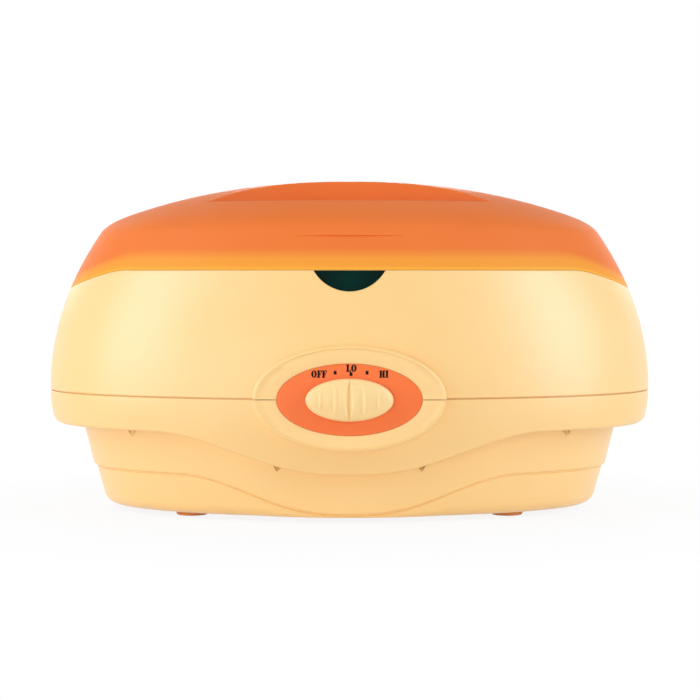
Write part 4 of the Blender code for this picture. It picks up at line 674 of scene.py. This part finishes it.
def letterSkins(text, centreX, lowZ):
    # slab-serif capitals on their stems: boxes for strokes, hair strokes and serifs, and an oval ring for an O
    high, stem, hair, widths = (marks[key] for key in ("height", "stroke", "hair", "widths"))
    x = centreX - (sum(widths[c] for c in text) + marks["gap"] * (len(text) - 1)) / 2
    skins = []
    for c in text:
        w = widths[c]
        bars = {
            "F": [(0.35, 0, 0.35 + stem, high), (0, 0, 1.7, hair), (0, high - hair, w, high),
                  (w - hair, high - 1.3, w, high), (0.35, high / 2 - 0.2, w - 0.7, high / 2 + 0.25),
                  (w - 1.0, high / 2 - 0.7, w - 0.7, high / 2 + 0.75)],
            "L": [(0.35, 0, 0.35 + stem, high), (0, high - hair, 1.7, high), (0, 0, w, hair),
                  (w - hair, 0, w, 1.3)],
            "H": [(0.3, 0, 0.3 + stem, high), (w - 0.3 - stem, 0, w - 0.3, high), (0, 0, 1.5, hair),
                  (0, high - hair, 1.5, high), (w - 1.5, 0, w, hair), (w - 1.5, high - hair, w, high),
                  (0.3, high / 2 - 0.2, w - 0.3, high / 2 + 0.25)],
            "I": [(0.38, 0, 0.38 + stem, high), (0, 0, w, hair), (0, high - hair, w, high)],
            "O": [],
        }[c]
        skins += [blockSkin((x + a, inkNear, lowZ + b), (x + d, inkFar, lowZ + e)) for a, b, d, e in bars]
        if c == "O":
            turn = np.linspace(0, 2 * pi, 40, endpoint=False)
            rings = []
            for cut, y in ((0, inkNear), (0, inkFar), (1, inkFar), (1, inkNear)):
                across = x + w / 2 + (w / 2 - cut * stem) * np.cos(turn)
                rings.append(gather(across, y, lowZ + high / 2 + (high / 2 - cut * hair) * np.sin(turn)))
            skins.append(gridSkin(rings, True, True))
        x += w + marks["gap"]
    return skins


def dialMarks():
    # OFF, LO and HI with a dot at each step between them, padded on and a hair proud
    skins = []
    for text, x, z in marks["words"]:
        skins += letterSkins(text, x, z - marks["height"] / 2)
    half, high = marks["dot"]
    skins += [blockSkin((x - half, inkNear, z - high), (x + half, inkFar, z + high)) for x, z in marks["dots"]]
    addPiece("dialMarks", skins, "mark", slot="black")


knob = {
    "width": 25.0, "height": 12.2, "back": 118.0, "side": 119.6, "dome": 5.4, "domePower": 0.9,
    "rise": 1.0, "ribHalf": 0.9, "ribs": ((-16.6, 0.42), (-8.3, 0.68), (8.3, 0.68), (16.6, 0.42)),
    "grooveHalf": 2.7, "groove": 2.1, "grooveHeight": 0.96, "slopes": (0.42, 0.58),
    "stem": (3.6, 1.9), "stemFront": 119, "stemBack": 102.6,
}


def knobSkin():
    # a half ellipsoid on a short side wall: four narrow ribs stand up, and a leaf-shaped groove marks the
    # middle, falling over the first share of its width and climbing over the second
    wide, high = knob["width"], knob["height"]
    x = (wide * np.sin(np.linspace(-pi / 2, pi / 2, 281)))[:, None]
    t = np.linspace(-pi / 2, pi / 2, 61)[None, :]
    z = high * np.sqrt(np.clip(1 - (x / wide) ** 2, 0, None)) * np.sin(t)
    dome = np.sqrt(np.clip(1 - (x / wide) ** 2 - (z / high) ** 2, 0, None))
    front = knob["side"] + knob["dome"] * dome ** knob["domePower"]
    for place, length in knob["ribs"]:
        along = np.clip(1 - np.abs(z / (length * high)) ** 4, 0, None)
        over = np.clip(1 - ((x - place) / knob["ribHalf"]) ** 2, 0, None) ** 1.5
        front = front + knob["rise"] * along * over
    leaf = np.clip(1 - (z / (knob["grooveHeight"] * high)) ** 2, 0, None)
    across = (x / (knob["grooveHalf"] * leaf + 0.01) + 1) / 2
    fall, climb = knob["slopes"]
    front = front - knob["groove"] * np.sqrt(leaf) * np.clip(
        np.minimum(across / fall, (1 - across) / climb), 0, None
    )
    face = gather(x, -front, z + control["z"])
    under, over = face[:, :1].copy(), face[:, -1:].copy()
    under[..., 1] = over[..., 1] = -knob["back"]
    return gridSkin(np.concatenate([face, over, under], axis=1), False, True)


def controlKnob():
    # the knob with the stem that passes through the slot to the shutter
    z, (half, high) = control["z"], knob["stem"]
    stem = blockSkin((-half, -knob["stemFront"], z - high), (half, -knob["stemBack"], z + high))
    addPiece("controlKnob", [knobSkin(), stem], "knob", ["control_knob"], "control", "casing", 50)


halfBoss("bossUpper", True)
halfBoss("bossLower", False)
dialPlate()
dialMarks()
controlKnob()
print("control made")

# Window: a half moon in the wall under the lid's edge
window = {"radius": 23.6, "centreZ": 158.4, "topZ": 146.8, "proud": 0.12, "thick": 3.0}


def indicatorLens():
    # upright columns between the round lower edge and the flat top, bent to the casing's wall
    half = math.sqrt(window["radius"] ** 2 - (window["centreZ"] - window["topZ"]) ** 2)
    x = (half * np.sin(np.linspace(-pi / 2, pi / 2, 81)))[:, None]
    low = window["centreZ"] - np.sqrt(window["radius"] ** 2 - x**2)
    z = low + np.linspace(0, 1, 13)[None, :] * (window["topZ"] - low)
    reach = wallReach(x, z)
    front = gather(x, -(reach + window["proud"]), z)
    back = gather(x, -(reach - window["thick"]), z)[:, ::-1]
    addPiece("indicatorLens", [gridSkin(np.concatenate([front, back], axis=1), False, True)], "lens",
             ["indicator_lens"])


indicatorLens()

# Lid: side, shoulder and crown, with two scoops that leave the grip between them
lid = {
    "side": 170.0, "lowest": 146.8, "sideSpan": 23.2, "gap": 0.12, "shoulder": (134.68, 181.4),
    "crown": 201.9, "top": 201.66, "drop": 20.5, "fall": 2.25, "contour": 113.0, "contourStep": 1.2,
    "gripShare": 0.7551, "gripHalf": 10.0, "floor": 175.9, "rim": 1.4, "wallDraft": 0.07, "fillet": 6.0,
    "thumbHalf": 33.0, "thumbLow": 155.1, "thumbHigh": 167.1, "thumbDepth": 0.9, "wall": 2.5,
    "bandHigh": 16, "bandLess": 5, "crease": 38,
}


def crownHeight(a):
    # a shallow power curve over the level half width
    return np.minimum(lid["crown"] - lid["drop"] * (a / lid["shoulder"][0]) ** lid["fall"], lid["top"])


def lidAngles():
    # columns of equal number before, between and after the grip's tips, the same in all four quarters
    tip = math.acos(lid["gripShare"])
    quarter = np.concatenate([np.linspace(0, tip, 29)[:-1], np.linspace(tip, pi / 2, 49)[:-1]])
    half = np.concatenate([quarter, [pi / 2], (pi - quarter)[::-1]])
    return np.concatenate([half, half[1:-1] + pi])


def lidSide(angle, offset):
    # rings up the side, then on a curve over the shoulder, to the contour where the scoops start
    rows = []
    low = lidEdge(angle) + lid["gap"]
    heights = [147.4, 149, 151, 153, 155.1, *np.linspace(156.5, 166.4, 9), 167.0, 167.1, 167.5, 168.5, 170]
    for inset, z in ((offset, 0),) if offset else ((0.3, 0), (0.12, 0.05), (0.03, 0.15)):
        rows.append(ovalRing(casingWidth(low), inset, angle, low + z))
    for z in heights:
        level = low + (z - lid["lowest"]) / lid["sideSpan"] * (lid["side"] - low)
        ring = ovalRing(casingWidth(level), offset, angle, level)
        if not offset:
            rise = (level - lid["thumbLow"]) / (lid["thumbHigh"] - lid["thumbLow"])
            fade = np.clip(1 - (ring[:, 0] / lid["thumbHalf"]) ** 2, 0, None)
            depth = lid["thumbDepth"] * fade * np.where((rise > 0) & (rise < 1.001), rise, 0)
            ring[:, 1] -= np.sign(ring[:, 1]) * depth
        rows.append(ring)
    start = np.array([casingWidth(lid["side"]), lid["side"]])
    slope = (casingWidth(lid["side"]) - casingWidth(lid["side"] - 0.6)) / 0.6
    end = np.array(lid["shoulder"])
    fall = -lid["fall"] * lid["drop"] / end[0]
    rise = (end[1] - start[1] + fall * (start[0] - end[0])) / (1 - fall * slope)
    corner = start + np.array([slope * rise, rise])
    t = np.linspace(0, 1, 15)[1:, None]
    curve = (1 - t) ** 2 * start + 2 * t * (1 - t) * corner + t**2 * end
    contour = lid["contour"] + lid["contourStep"] * offset
    a = np.linspace(end[0], contour, 9)[1:]
    curve = np.concatenate([curve, np.stack([a, crownHeight(a)], axis=-1)])
    along = np.gradient(curve, axis=0)
    along /= np.linalg.norm(along, axis=1)[:, None]
    for (a, z), (da, dz) in zip(curve, along):
        rows.append(ovalRing(a, offset * dz, angle, z + offset * da + 0 * angle))
    rows[-1] = ovalRing(contour, 0, angle, crownHeight(contour) - offset + 0 * angle)
    return np.array(rows)


def lidTop(angle, offset):
    # lines from front to back, one at each column of the contour, that drop into a scoop and climb the grip
    contour = lid["contour"] + lid["contourStep"] * offset
    half = len(angle) // 2
    turn = angle[half::-1]
    x = contour * np.cos(turn)
    edgeY = contour * depthShare * np.sin(turn)
    reach = contour * lid["gripShare"]
    tipY = contour * depthShare * math.sqrt(1 - lid["gripShare"] ** 2)
    ridge = lid["gripHalf"] - offset
    ridgeY = np.minimum(ridge + (tipY - ridge) * (x / reach) ** 2, edgeY)
    ridgeY = np.where(np.abs(x) > reach - 1e-6, edgeY, ridgeY)
    width = edgeY - ridgeY
    outerZ = crownHeight(contour) - offset + 0 * x
    ridgeZ = crownHeight(np.hypot(x, ridgeY / depthShare)) - offset
    floor = np.maximum(lid["floor"] - offset, outerZ - 2.4 * width)

    def wallDown(topZ):
        # a scoop's wall as (inset, height) steps: a round rim, a little draft and a fillet at the floor
        deep = topZ - floor
        rim = np.minimum(np.minimum(lid["rim"], width / 8), deep / 3)
        fillet = np.minimum(np.minimum(lid["fillet"], width / 4), deep / 2)
        draft = np.minimum(lid["wallDraft"] * deep, width / 12)
        steps = [(rim * math.sin(a), rim * (1 - math.cos(a))) for a in np.linspace(0, pi / 2, 6)]
        steps += [(rim + draft * s, rim + s * (deep - rim - fillet)) for s in (0.33, 0.67, 1)]
        steps += [(rim + draft + fillet * (1 - math.cos(a)), deep - fillet + fillet * math.sin(a))
                  for a in np.linspace(0, pi / 2, 8)[1:]]
        return [(u, topZ - v) for u, v in steps]

    outer, inner = wallDown(outerZ), wallDown(ridgeZ)
    line = [(edgeY - u, z) for u, z in outer]
    startY, endY = line[-1][0], ridgeY + inner[-1][0]
    line += [(startY + share * (endY - startY), floor) for share in (0.25, 0.5, 0.75)]
    line += [(ridgeY + u, z) for u, z in inner[::-1]]
    for share in (0.25, 0.5, 0.75, 1):
        y = ridgeY * (1 - share)
        line.append((y, crownHeight(np.hypot(x, y / depthShare)) - offset))
    y, z = (np.array(part) for part in zip(*line))
    return gather(x, np.concatenate([-y, y[-2::-1]]), np.concatenate([z, z[-2::-1]]))


def overEdge(corners):
    # height over the lid's edge, as a share of the band's height, which is less at the ends
    turn = np.arctan2(corners[:, 1] / depthShare, corners[:, 0])
    return (corners[:, 2] - lidEdge(turn)) / (lid["bandHigh"] - lid["bandLess"] * nearEnds(turn, 0.75, 0.25))


def lidShell():
    # the outside and the inside joined along the edge, each with its own top
    angle, wall = lidAngles(), lid["wall"]
    side = np.concatenate([lidSide(angle, wall)[::-1], lidSide(angle, 0)])
    parts = [gridSkin(side, wrapCols=True), gridSkin(lidTop(angle, 0)), gridSkin(lidTop(angle, wall))]
    parts[2] = (parts[2][0], parts[2][1][:, ::-1], [])
    starts = np.cumsum([0] + [len(p[0]) for p in parts])
    points = np.concatenate([p[0] for p in parts])
    quads = np.concatenate([p[1] + s for p, s in zip(parts, starts)])
    addPiece("lidShell", [(points, quads, [])], "lid", ["lid"], "lid", crease=lid["crease"],
             measure=("overEdge", overEdge))


lidShell()
print("lid made")

# Feet: low rubber discs whose stems are pressed into the base
foot = {"radius": 9.5, "edge": 1.0, "top": 3.2, "stem": 3.0, "stemTop": 8.7, "x": 94.8, "y": 47.98}


def feet():
    # one profile turned at the four corners: a flat sole, a round edge, the rim and the stem
    r, e, top = foot["radius"], foot["edge"], foot["top"]
    profile = [(0, 0), (r - e, 0)] + [(r - e + i, z) for i, z in arc((0, 0), (e, e), (0, e))][1:]
    profile += [(r, top), (foot["stem"], top), (foot["stem"], foot["stemTop"]), (0, foot["stemTop"])]
    for side, sx in (("left", -1), ("right", 1)):
        for end, sy in (("front", -1), ("rear", 1)):
            place = f"{side}_{end}"
            skin = turnedSkin(profile, (sx * foot["x"], sy * foot["y"], 0))
            addPiece("rubberFoot_" + place, [skin], "rubber", ["foot_" + place])


feet()

# Tank: a drawn shell with a flange that rests on its gasket
tank = {
    "bottomZ": 46.0, "bottom": (133.96, 67.97), "corner": 14.0, "mouth": (150.43, 88.08), "flangeZ": 156.7,
    "flange": (158.63, 96.28), "wall": 1.0, "stud": (57.6, 16.3), "studRadius": 2.5, "studEnd": 22.0,
    "gasketZ": 155.4, "gasketInner": (151.93, 89.58),
}


def levelOval(wide, deep, z, scale=1.0, count=220):
    # a level ellipse from its two half widths
    turn = np.linspace(0, 2 * pi, count, endpoint=False)
    return gather(scale * wide * np.cos(turn), scale * deep * np.sin(turn), z)


def tankWall(offset, lowZ):
    # half of the tank's section, from the middle of its floor round the corner and up the tapering side
    (wide, deep), corner = tank["bottom"], tank["corner"]
    radius = corner - offset
    rows = [levelOval(wide - corner, deep - corner, lowZ, scale) for scale in (0, 0.3, 0.6, 0.85)]
    for turn in np.linspace(0, pi / 2, 9):
        inset = corner - radius * math.sin(turn)
        rows.append(levelOval(wide - inset, deep - inset, lowZ + radius * (1 - math.cos(turn))))
    for share in np.linspace(0, 1, 12)[1:]:
        w, d = (b + share * (m - b) for b, m in zip(tank["bottom"], tank["mouth"]))
        z = tank["bottomZ"] + corner
        rows.append(levelOval(w - offset, d - offset, z + share * (tank["flangeZ"] - z)))
    return rows


def waxTank():
    # the inside, the flange and the outside as one section, with four studs under the floor
    wall, low = tank["wall"], tank["flangeZ"]
    rows = tankWall(wall, tank["bottomZ"] + wall)
    for inset, z in arc((wall, 0), (0, wall), (0, 0), 5)[1:]:
        rows.append(levelOval(*(m - inset for m in tank["mouth"]), low + z))
    for inset, z in ((0.3, wall), (0, 0.7), (0, 0.3), (0.3, 0)):
        rows.append(levelOval(*(f - inset for f in tank["flange"]), low + z))
    rows += tankWall(0, tank["bottomZ"])[::-1]
    r, top, end = tank["studRadius"], tank["bottomZ"] + wall / 2, tank["studEnd"]
    profile = [(0, end), (r - 0.4, end), (r, end + 0.4), (r, top), (0, top)]
    x, y = tank["stud"]
    skins = [gridSkin(rows, wrapCols=True)]
    skins += [turnedSkin(profile, (sx * x, sy * y, 0), count=24) for sx in (-1, 1) for sy in (-1, 1)]
    addPiece("tankShell", skins, "tank", ["wax_tank"])


def tankGasket():
    # a flat ring with small chamfers, a millimetre thick, between the collar's seat and the flange
    steps = [(-0.25, 0), (0, 0.25), (0, 0.75), (-0.25, 1)]
    rows = [levelOval(*(f + i for f in tank["flange"]), tank["gasketZ"] + h) for i, h in steps]
    rows += [levelOval(*(g - i for g in tank["gasketInner"]), tank["gasketZ"] + h) for i, h in steps[::-1]]
    addPiece("tankGasket", [gridSkin(rows, True, True)], "silicone", ["tank_gasket"])


grille = {
    "wide": 129.8, "deep": 63.6, "low": 56.0, "high": 59.0, "pitch": 15.0, "slotHalf": 3.5, "border": 9.0,
    "bridge": 5.0, "leg": (82.5, 35.6), "legRadius": 4.0, "legEnd": 47.3,
}


def safetyGrille():
    # cells between slot edges: the slots' cells are left out, apart from a bridge along the middle
    wide, deep, pitch, half = (grille[k] for k in ("wide", "deep", "pitch", "slotHalf"))
    count = int((wide - grille["border"]) / pitch)
    slots = np.arange(-count, count + 1) * pitch
    rounds = wide * np.sin(np.linspace(-pi / 2, pi / 2, 97))
    slotSides = np.concatenate([slots - half, slots + half])
    far = np.abs(rounds[:, None] - slotSides[None, :]).min(1) > 0.4
    x = np.sort(np.concatenate([rounds[far], slotSides]))
    edge = deep * np.sqrt(np.clip(1 - (x / wide) ** 2, 0, None))
    ends = deep * np.sqrt(1 - ((np.abs(slots) + half) / wide) ** 2) - grille["border"]
    nearest = np.abs(x[:, None] - slots[None, :]).argmin(1)
    bridge = np.minimum(grille["bridge"], edge)
    slotEnd = np.maximum(np.minimum(ends[nearest], edge), bridge)
    y = np.stack([-edge, -slotEnd, -bridge, bridge, slotEnd, edge])
    middle = (x[1:] + x[:-1]) / 2
    inSlot = np.abs(middle[:, None] - slots[None, :]).min(1) < half
    keep = np.ones((5, len(x) - 1), bool)
    keep[1, inSlot] = keep[3, inSlot] = False
    skins = [slabSkin(np.broadcast_to(x, y.shape), y, keep, grille["low"], grille["high"])]
    r, end, top = grille["legRadius"], grille["legEnd"], grille["low"] + 1
    profile = [(0, end), (r - 0.8, end), (r, end + 0.8), (r, top), (0, top)]
    skins += [turnedSkin(profile, (sx * grille["leg"][0], sy * grille["leg"][1], 0), count=24)
              for sx in (-1, 1) for sy in (-1, 1)]
    addPiece("tankGrille", skins, "grille", ["safety_grille"], "grille")


waxTank()
tankGasket()
safetyGrille()
print("tank made")

# Power inlet at the back, on a flat land, and the screws
inlet = {
    "landReach": 115.8, "land": (27.0, 13.3), "opening": (13.8, 10.1), "landBack": 106.0,
    "flange": (25.0, 11.3), "face": 119.1, "thick": 3.0, "body": (13.5, 9.8), "bodyBack": 101.1,
    "socket": (12.1, 8.1), "socketFloor": 103.6, "screwX": 20.0, "screwProud": 0.3,
    "screwSize": (2.8, 1.8, 1.5, 11.3),
}


def powerInlet():
    # rounded rectangles from back to front: the land round the opening, then the inlet with its socket
    z, face, back = cuts["inletZ"], inlet["face"], inlet["landBack"]
    (w, h), (ow, oh), reach = inlet["land"], inlet["opening"], inlet["landReach"]
    rows = [boxRing(ow, oh, 1.5, back, z), boxRing(ow, oh, 1.5, reach, z)]
    rows += [boxRing(w - i, h - i, 3.2 - i, reach + d, z) for i, d in arc((1, 0), (0, -1), (1, -1))]
    rows += [boxRing(w, h, 3.2, back, z)]
    addPiece("inletLand", [gridSkin(rows, True, True)], "casing")
    (w, h), (bw, bh), (sw, sh) = inlet["flange"], inlet["body"], inlet["socket"]
    start, back, floor = face - inlet["thick"], inlet["bodyBack"], inlet["socketFloor"]
    rows = [boxRing(0, 0, 0, back, z), boxRing(bw, bh, 1.5, back, z), boxRing(bw, bh, 1.5, start, z)]
    rows += [boxRing(w - 0.3, h - 0.3, 2.5, start, z), boxRing(w, h, 2.8, start + 0.3, z)]
    rows += [boxRing(w - i, h - i, 2.8 - i, face + d, z) for i, d in arc((0, -0.6), (0.6, 0), (0.6, -0.6), 5)]
    rows += [boxRing(sw + i, sh + i, 2.2 + i, face + d, z)
             for i, d in arc((0.4, 0), (0, -0.4), (0.4, -0.4), 4)]
    rows += [boxRing(sw, sh, 2.2, floor, z), boxRing(0, 0, 0, floor, z)]
    addPiece("inletBody", [gridSkin(rows, wrapCols=True)], "black", ["power_inlet"])


def screwSkin(centre, axis, head, high, shank, length):
    # a pan head with a cross, on a plain shank
    profile = [(0, -length), (shank - 0.3, -length), (shank, 0.3 - length), (shank, 0), (head, 0)]
    profile += arc((head, high - 0.7), (head - 0.7, high), (head - 0.7, high - 0.7), 4)[:-1]
    profile += [(r, high) for r in np.linspace(head - 0.7, 0, 12)]
    return turnedSkin(profile, centre, axis, 32, (0.42, head * 0.62, 0.9))


def screwHeads():
    # the casing's screws point up into their wells, and the inlet's stand in its flange
    for name, x, y, edge in screwPlaces():
        skin = screwSkin((x, y, edge + screws["seat"]), (0, 0, -1), *screws["size"])
        addPiece("casingScrew_" + name, [skin], "steel", ["casing_screw_" + name])
    for name, side in (("left", -1), ("right", 1)):
        centre = (side * inlet["screwX"], inlet["face"] + inlet["screwProud"], cuts["inletZ"])
        skin = screwSkin(centre, (0, 1, 0), *inlet["screwSize"])
        addPiece("inletScrew_" + name, [skin], "steel", ["inlet_screw_" + name])


powerInlet()
screwHeads()
print("inlet and screws made")

# Materials for the pieces that keep their shape. What isn't named here is steel.
carried = {
    "brass": ["thermostat_spindle", "inlet_pin_live", "inlet_pin_neutral", "inlet_pin_earth"],
    "nylon": ["thermostat_body", "slider_carriage", "spindle_pinion"],
    "copper": ["sensor_bulb", "capillary_tube"], "board": ["lamp_board"],
    "lamp": ["heating_lamp", "ready_lamp"], "fibre": ["insulation_pad"], "tank": ["heater_clamp_plate"],
    "wireBrown": ["live_wire", "thermostat_wire", "element_wire"],
    "wireBlue": ["neutral_wire"], "wireGreen": ["earth_wire"], "wireWhite": ["lamp_wire"],
}
finishOf = {node: key for key, nodes in carried.items() for node in nodes}
for node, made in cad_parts.items():
    if not made.hide_render:
        made.data.materials.clear()
        made.data.materials.append(finishes[finishOf.get(node, "steel")])
print("carried pieces finished")

# Stage: a pale floor that fades to white, soft boxes, and the camera. Each lamp has its place, what it is
# aimed at, its width and height, its power and its tint, in metres and watts.
studio = {
    "floor": "#f8f7f4", "floorDrift": "#f7f5f2", "shadowNear": 0.15, "shadowFar": 0.3, "shadowShare": 0.88,
    "sky": 0.312, "camera": (0.00031, -1.27865, 0.1464), "lens": 105.53, "tilt": 2.2,
}
cool, plain = (0.7, 0.82, 1), (1, 1, 1)
lamps = {
    "softBoxLeft": ((-1.25, -0.56, 0.55), (0, 0, 0.1), 0.7, 1.25, 12.6, cool),
    "softBoxRight": ((1.25, -0.56, 0.55), (0, 0, 0.1), 0.7, 1.25, 14.112, cool),
    "softBoxTop": ((-0.6, -0.5, 1.15), (0, 0, 0.1), 0.9, 0.7, 1.5, plain),
    "softBoxFront": ((-0.6, -1.6, 0.12), (0, 0, 0.06), 1.3, 0.3, 5.0, plain),
    "softBoxBackLeft": ((-0.9, 1.2, 0.8), (0, 0, 0.1), 0.7, 0.9, 2.2, plain),
    "softBoxBackRight": ((0.9, 1.2, 0.8), (0, 0, 0.1), 0.7, 0.9, 2.2, plain),
    "softBoxRear": ((0, 1.7, 0.45), (0, 0.1, 0.1), 0.4, 0.5, 4.84, plain),
}


def seenDirectly(tree):
    # 1 for rays from the camera, from a glossy surface or through a clear one, and 0 for the rest
    rays = addNode(tree, "LightPath").outputs
    share = rays["Is Camera Ray"]
    for kind in ("Is Glossy Ray", "Is Transmission Ray"):
        share = addNode(tree, "Math", None, {0: share, 1: rays[kind]}, operation="MAXIMUM").outputs[0]
    return share


def makeFloor():
    # a level square, far wider than the view
    mesh = bpy.data.meshes.new("floor")
    mesh.from_pydata([(-30, -30, 0), (30, -30, 0), (30, 30, 0), (-30, 30, 0)], [], [(0, 1, 2, 3)])
    floor = addObject("floor", mesh)
    made, tree, shader, place = startMaterial("matteBackdropPaper", Roughness=0.9)
    drift = colourDrift(tree, place, studio["floor"], studio["floorDrift"], 0.3)
    tree.links.new(drift, shader.inputs["Base Color"])
    # seen directly the paper is nearly white: the share that takes shadow fades out 0.3 m from the middle
    near = addNode(tree, "VectorMath", None, {0: place}, operation="LENGTH")
    fade = {"From Min": studio["shadowNear"], "From Max": studio["shadowFar"], "To Min": studio["shadowShare"],
            "To Max": 1.0}
    share = addNode(tree, "MapRange", fade, {"Value": near.outputs["Value"]})
    factor = addNode(tree, "Math", None, {0: seenDirectly(tree), 1: share.outputs["Result"]},
                     operation="MULTIPLY")
    white = addNode(tree, "Emission", {"Color": (1, 1, 1, 1), "Strength": 1.0})
    mix = addNode(
        tree, "MixShader", None, {0: factor.outputs[0], 1: shader.outputs[0], 2: white.outputs[0]}
    )
    tree.links.new(mix.outputs[0], tree.nodes["Material Output"].inputs["Surface"])
    mesh.materials.append(made)


def makeWorld():
    # a weak even light on the object, and plain white where the world is seen directly
    world = bpy.data.worlds.new("paleStudio")
    bpy.context.scene.world = world
    world.use_nodes = True
    tree = world.node_tree
    tree.nodes.clear()
    soft, white = (addNode(tree, "Background", {"Color": (1, 1, 1, 1), "Strength": strength}).outputs[0]
                   for strength in (studio["sky"], 1.0))
    mix = addNode(tree, "MixShader", None, {0: seenDirectly(tree), 1: soft, 2: white})
    addNode(tree, "OutputWorld", None, {"Surface": mix.outputs[0]})


def softBox(name, place, aim, width, height, power, tint):
    # a rectangular lamp, tilted and turned to face its aim
    data = bpy.data.lights.new(name, "AREA")
    data.shape, data.size, data.size_y, data.energy, data.color = "RECTANGLE", width, height, power, tint
    lamp = addObject(name, data)
    lamp.location = place
    x, y, z = np.array(aim, float) - np.array(place, float)
    lamp.rotation_euler = (math.atan2(math.hypot(x, y), -z), 0, math.atan2(y, x) - pi / 2)


def makeCamera():
    # level with the middle of the bath and tilted down a little
    data = bpy.data.cameras.new("camera")
    data.sensor_width, data.lens = 36, studio["lens"]
    camera = addObject("camera", data)
    camera.location = studio["camera"]
    camera.rotation_euler = (math.radians(90 - studio["tilt"]), 0, 0)
    bpy.context.scene.camera = camera


makeFloor()
makeWorld()
for name, settings in lamps.items():
    softBox(name, *settings)
makeCamera()
bpy.context.scene.view_settings.view_transform = "Standard"
print("stage set")
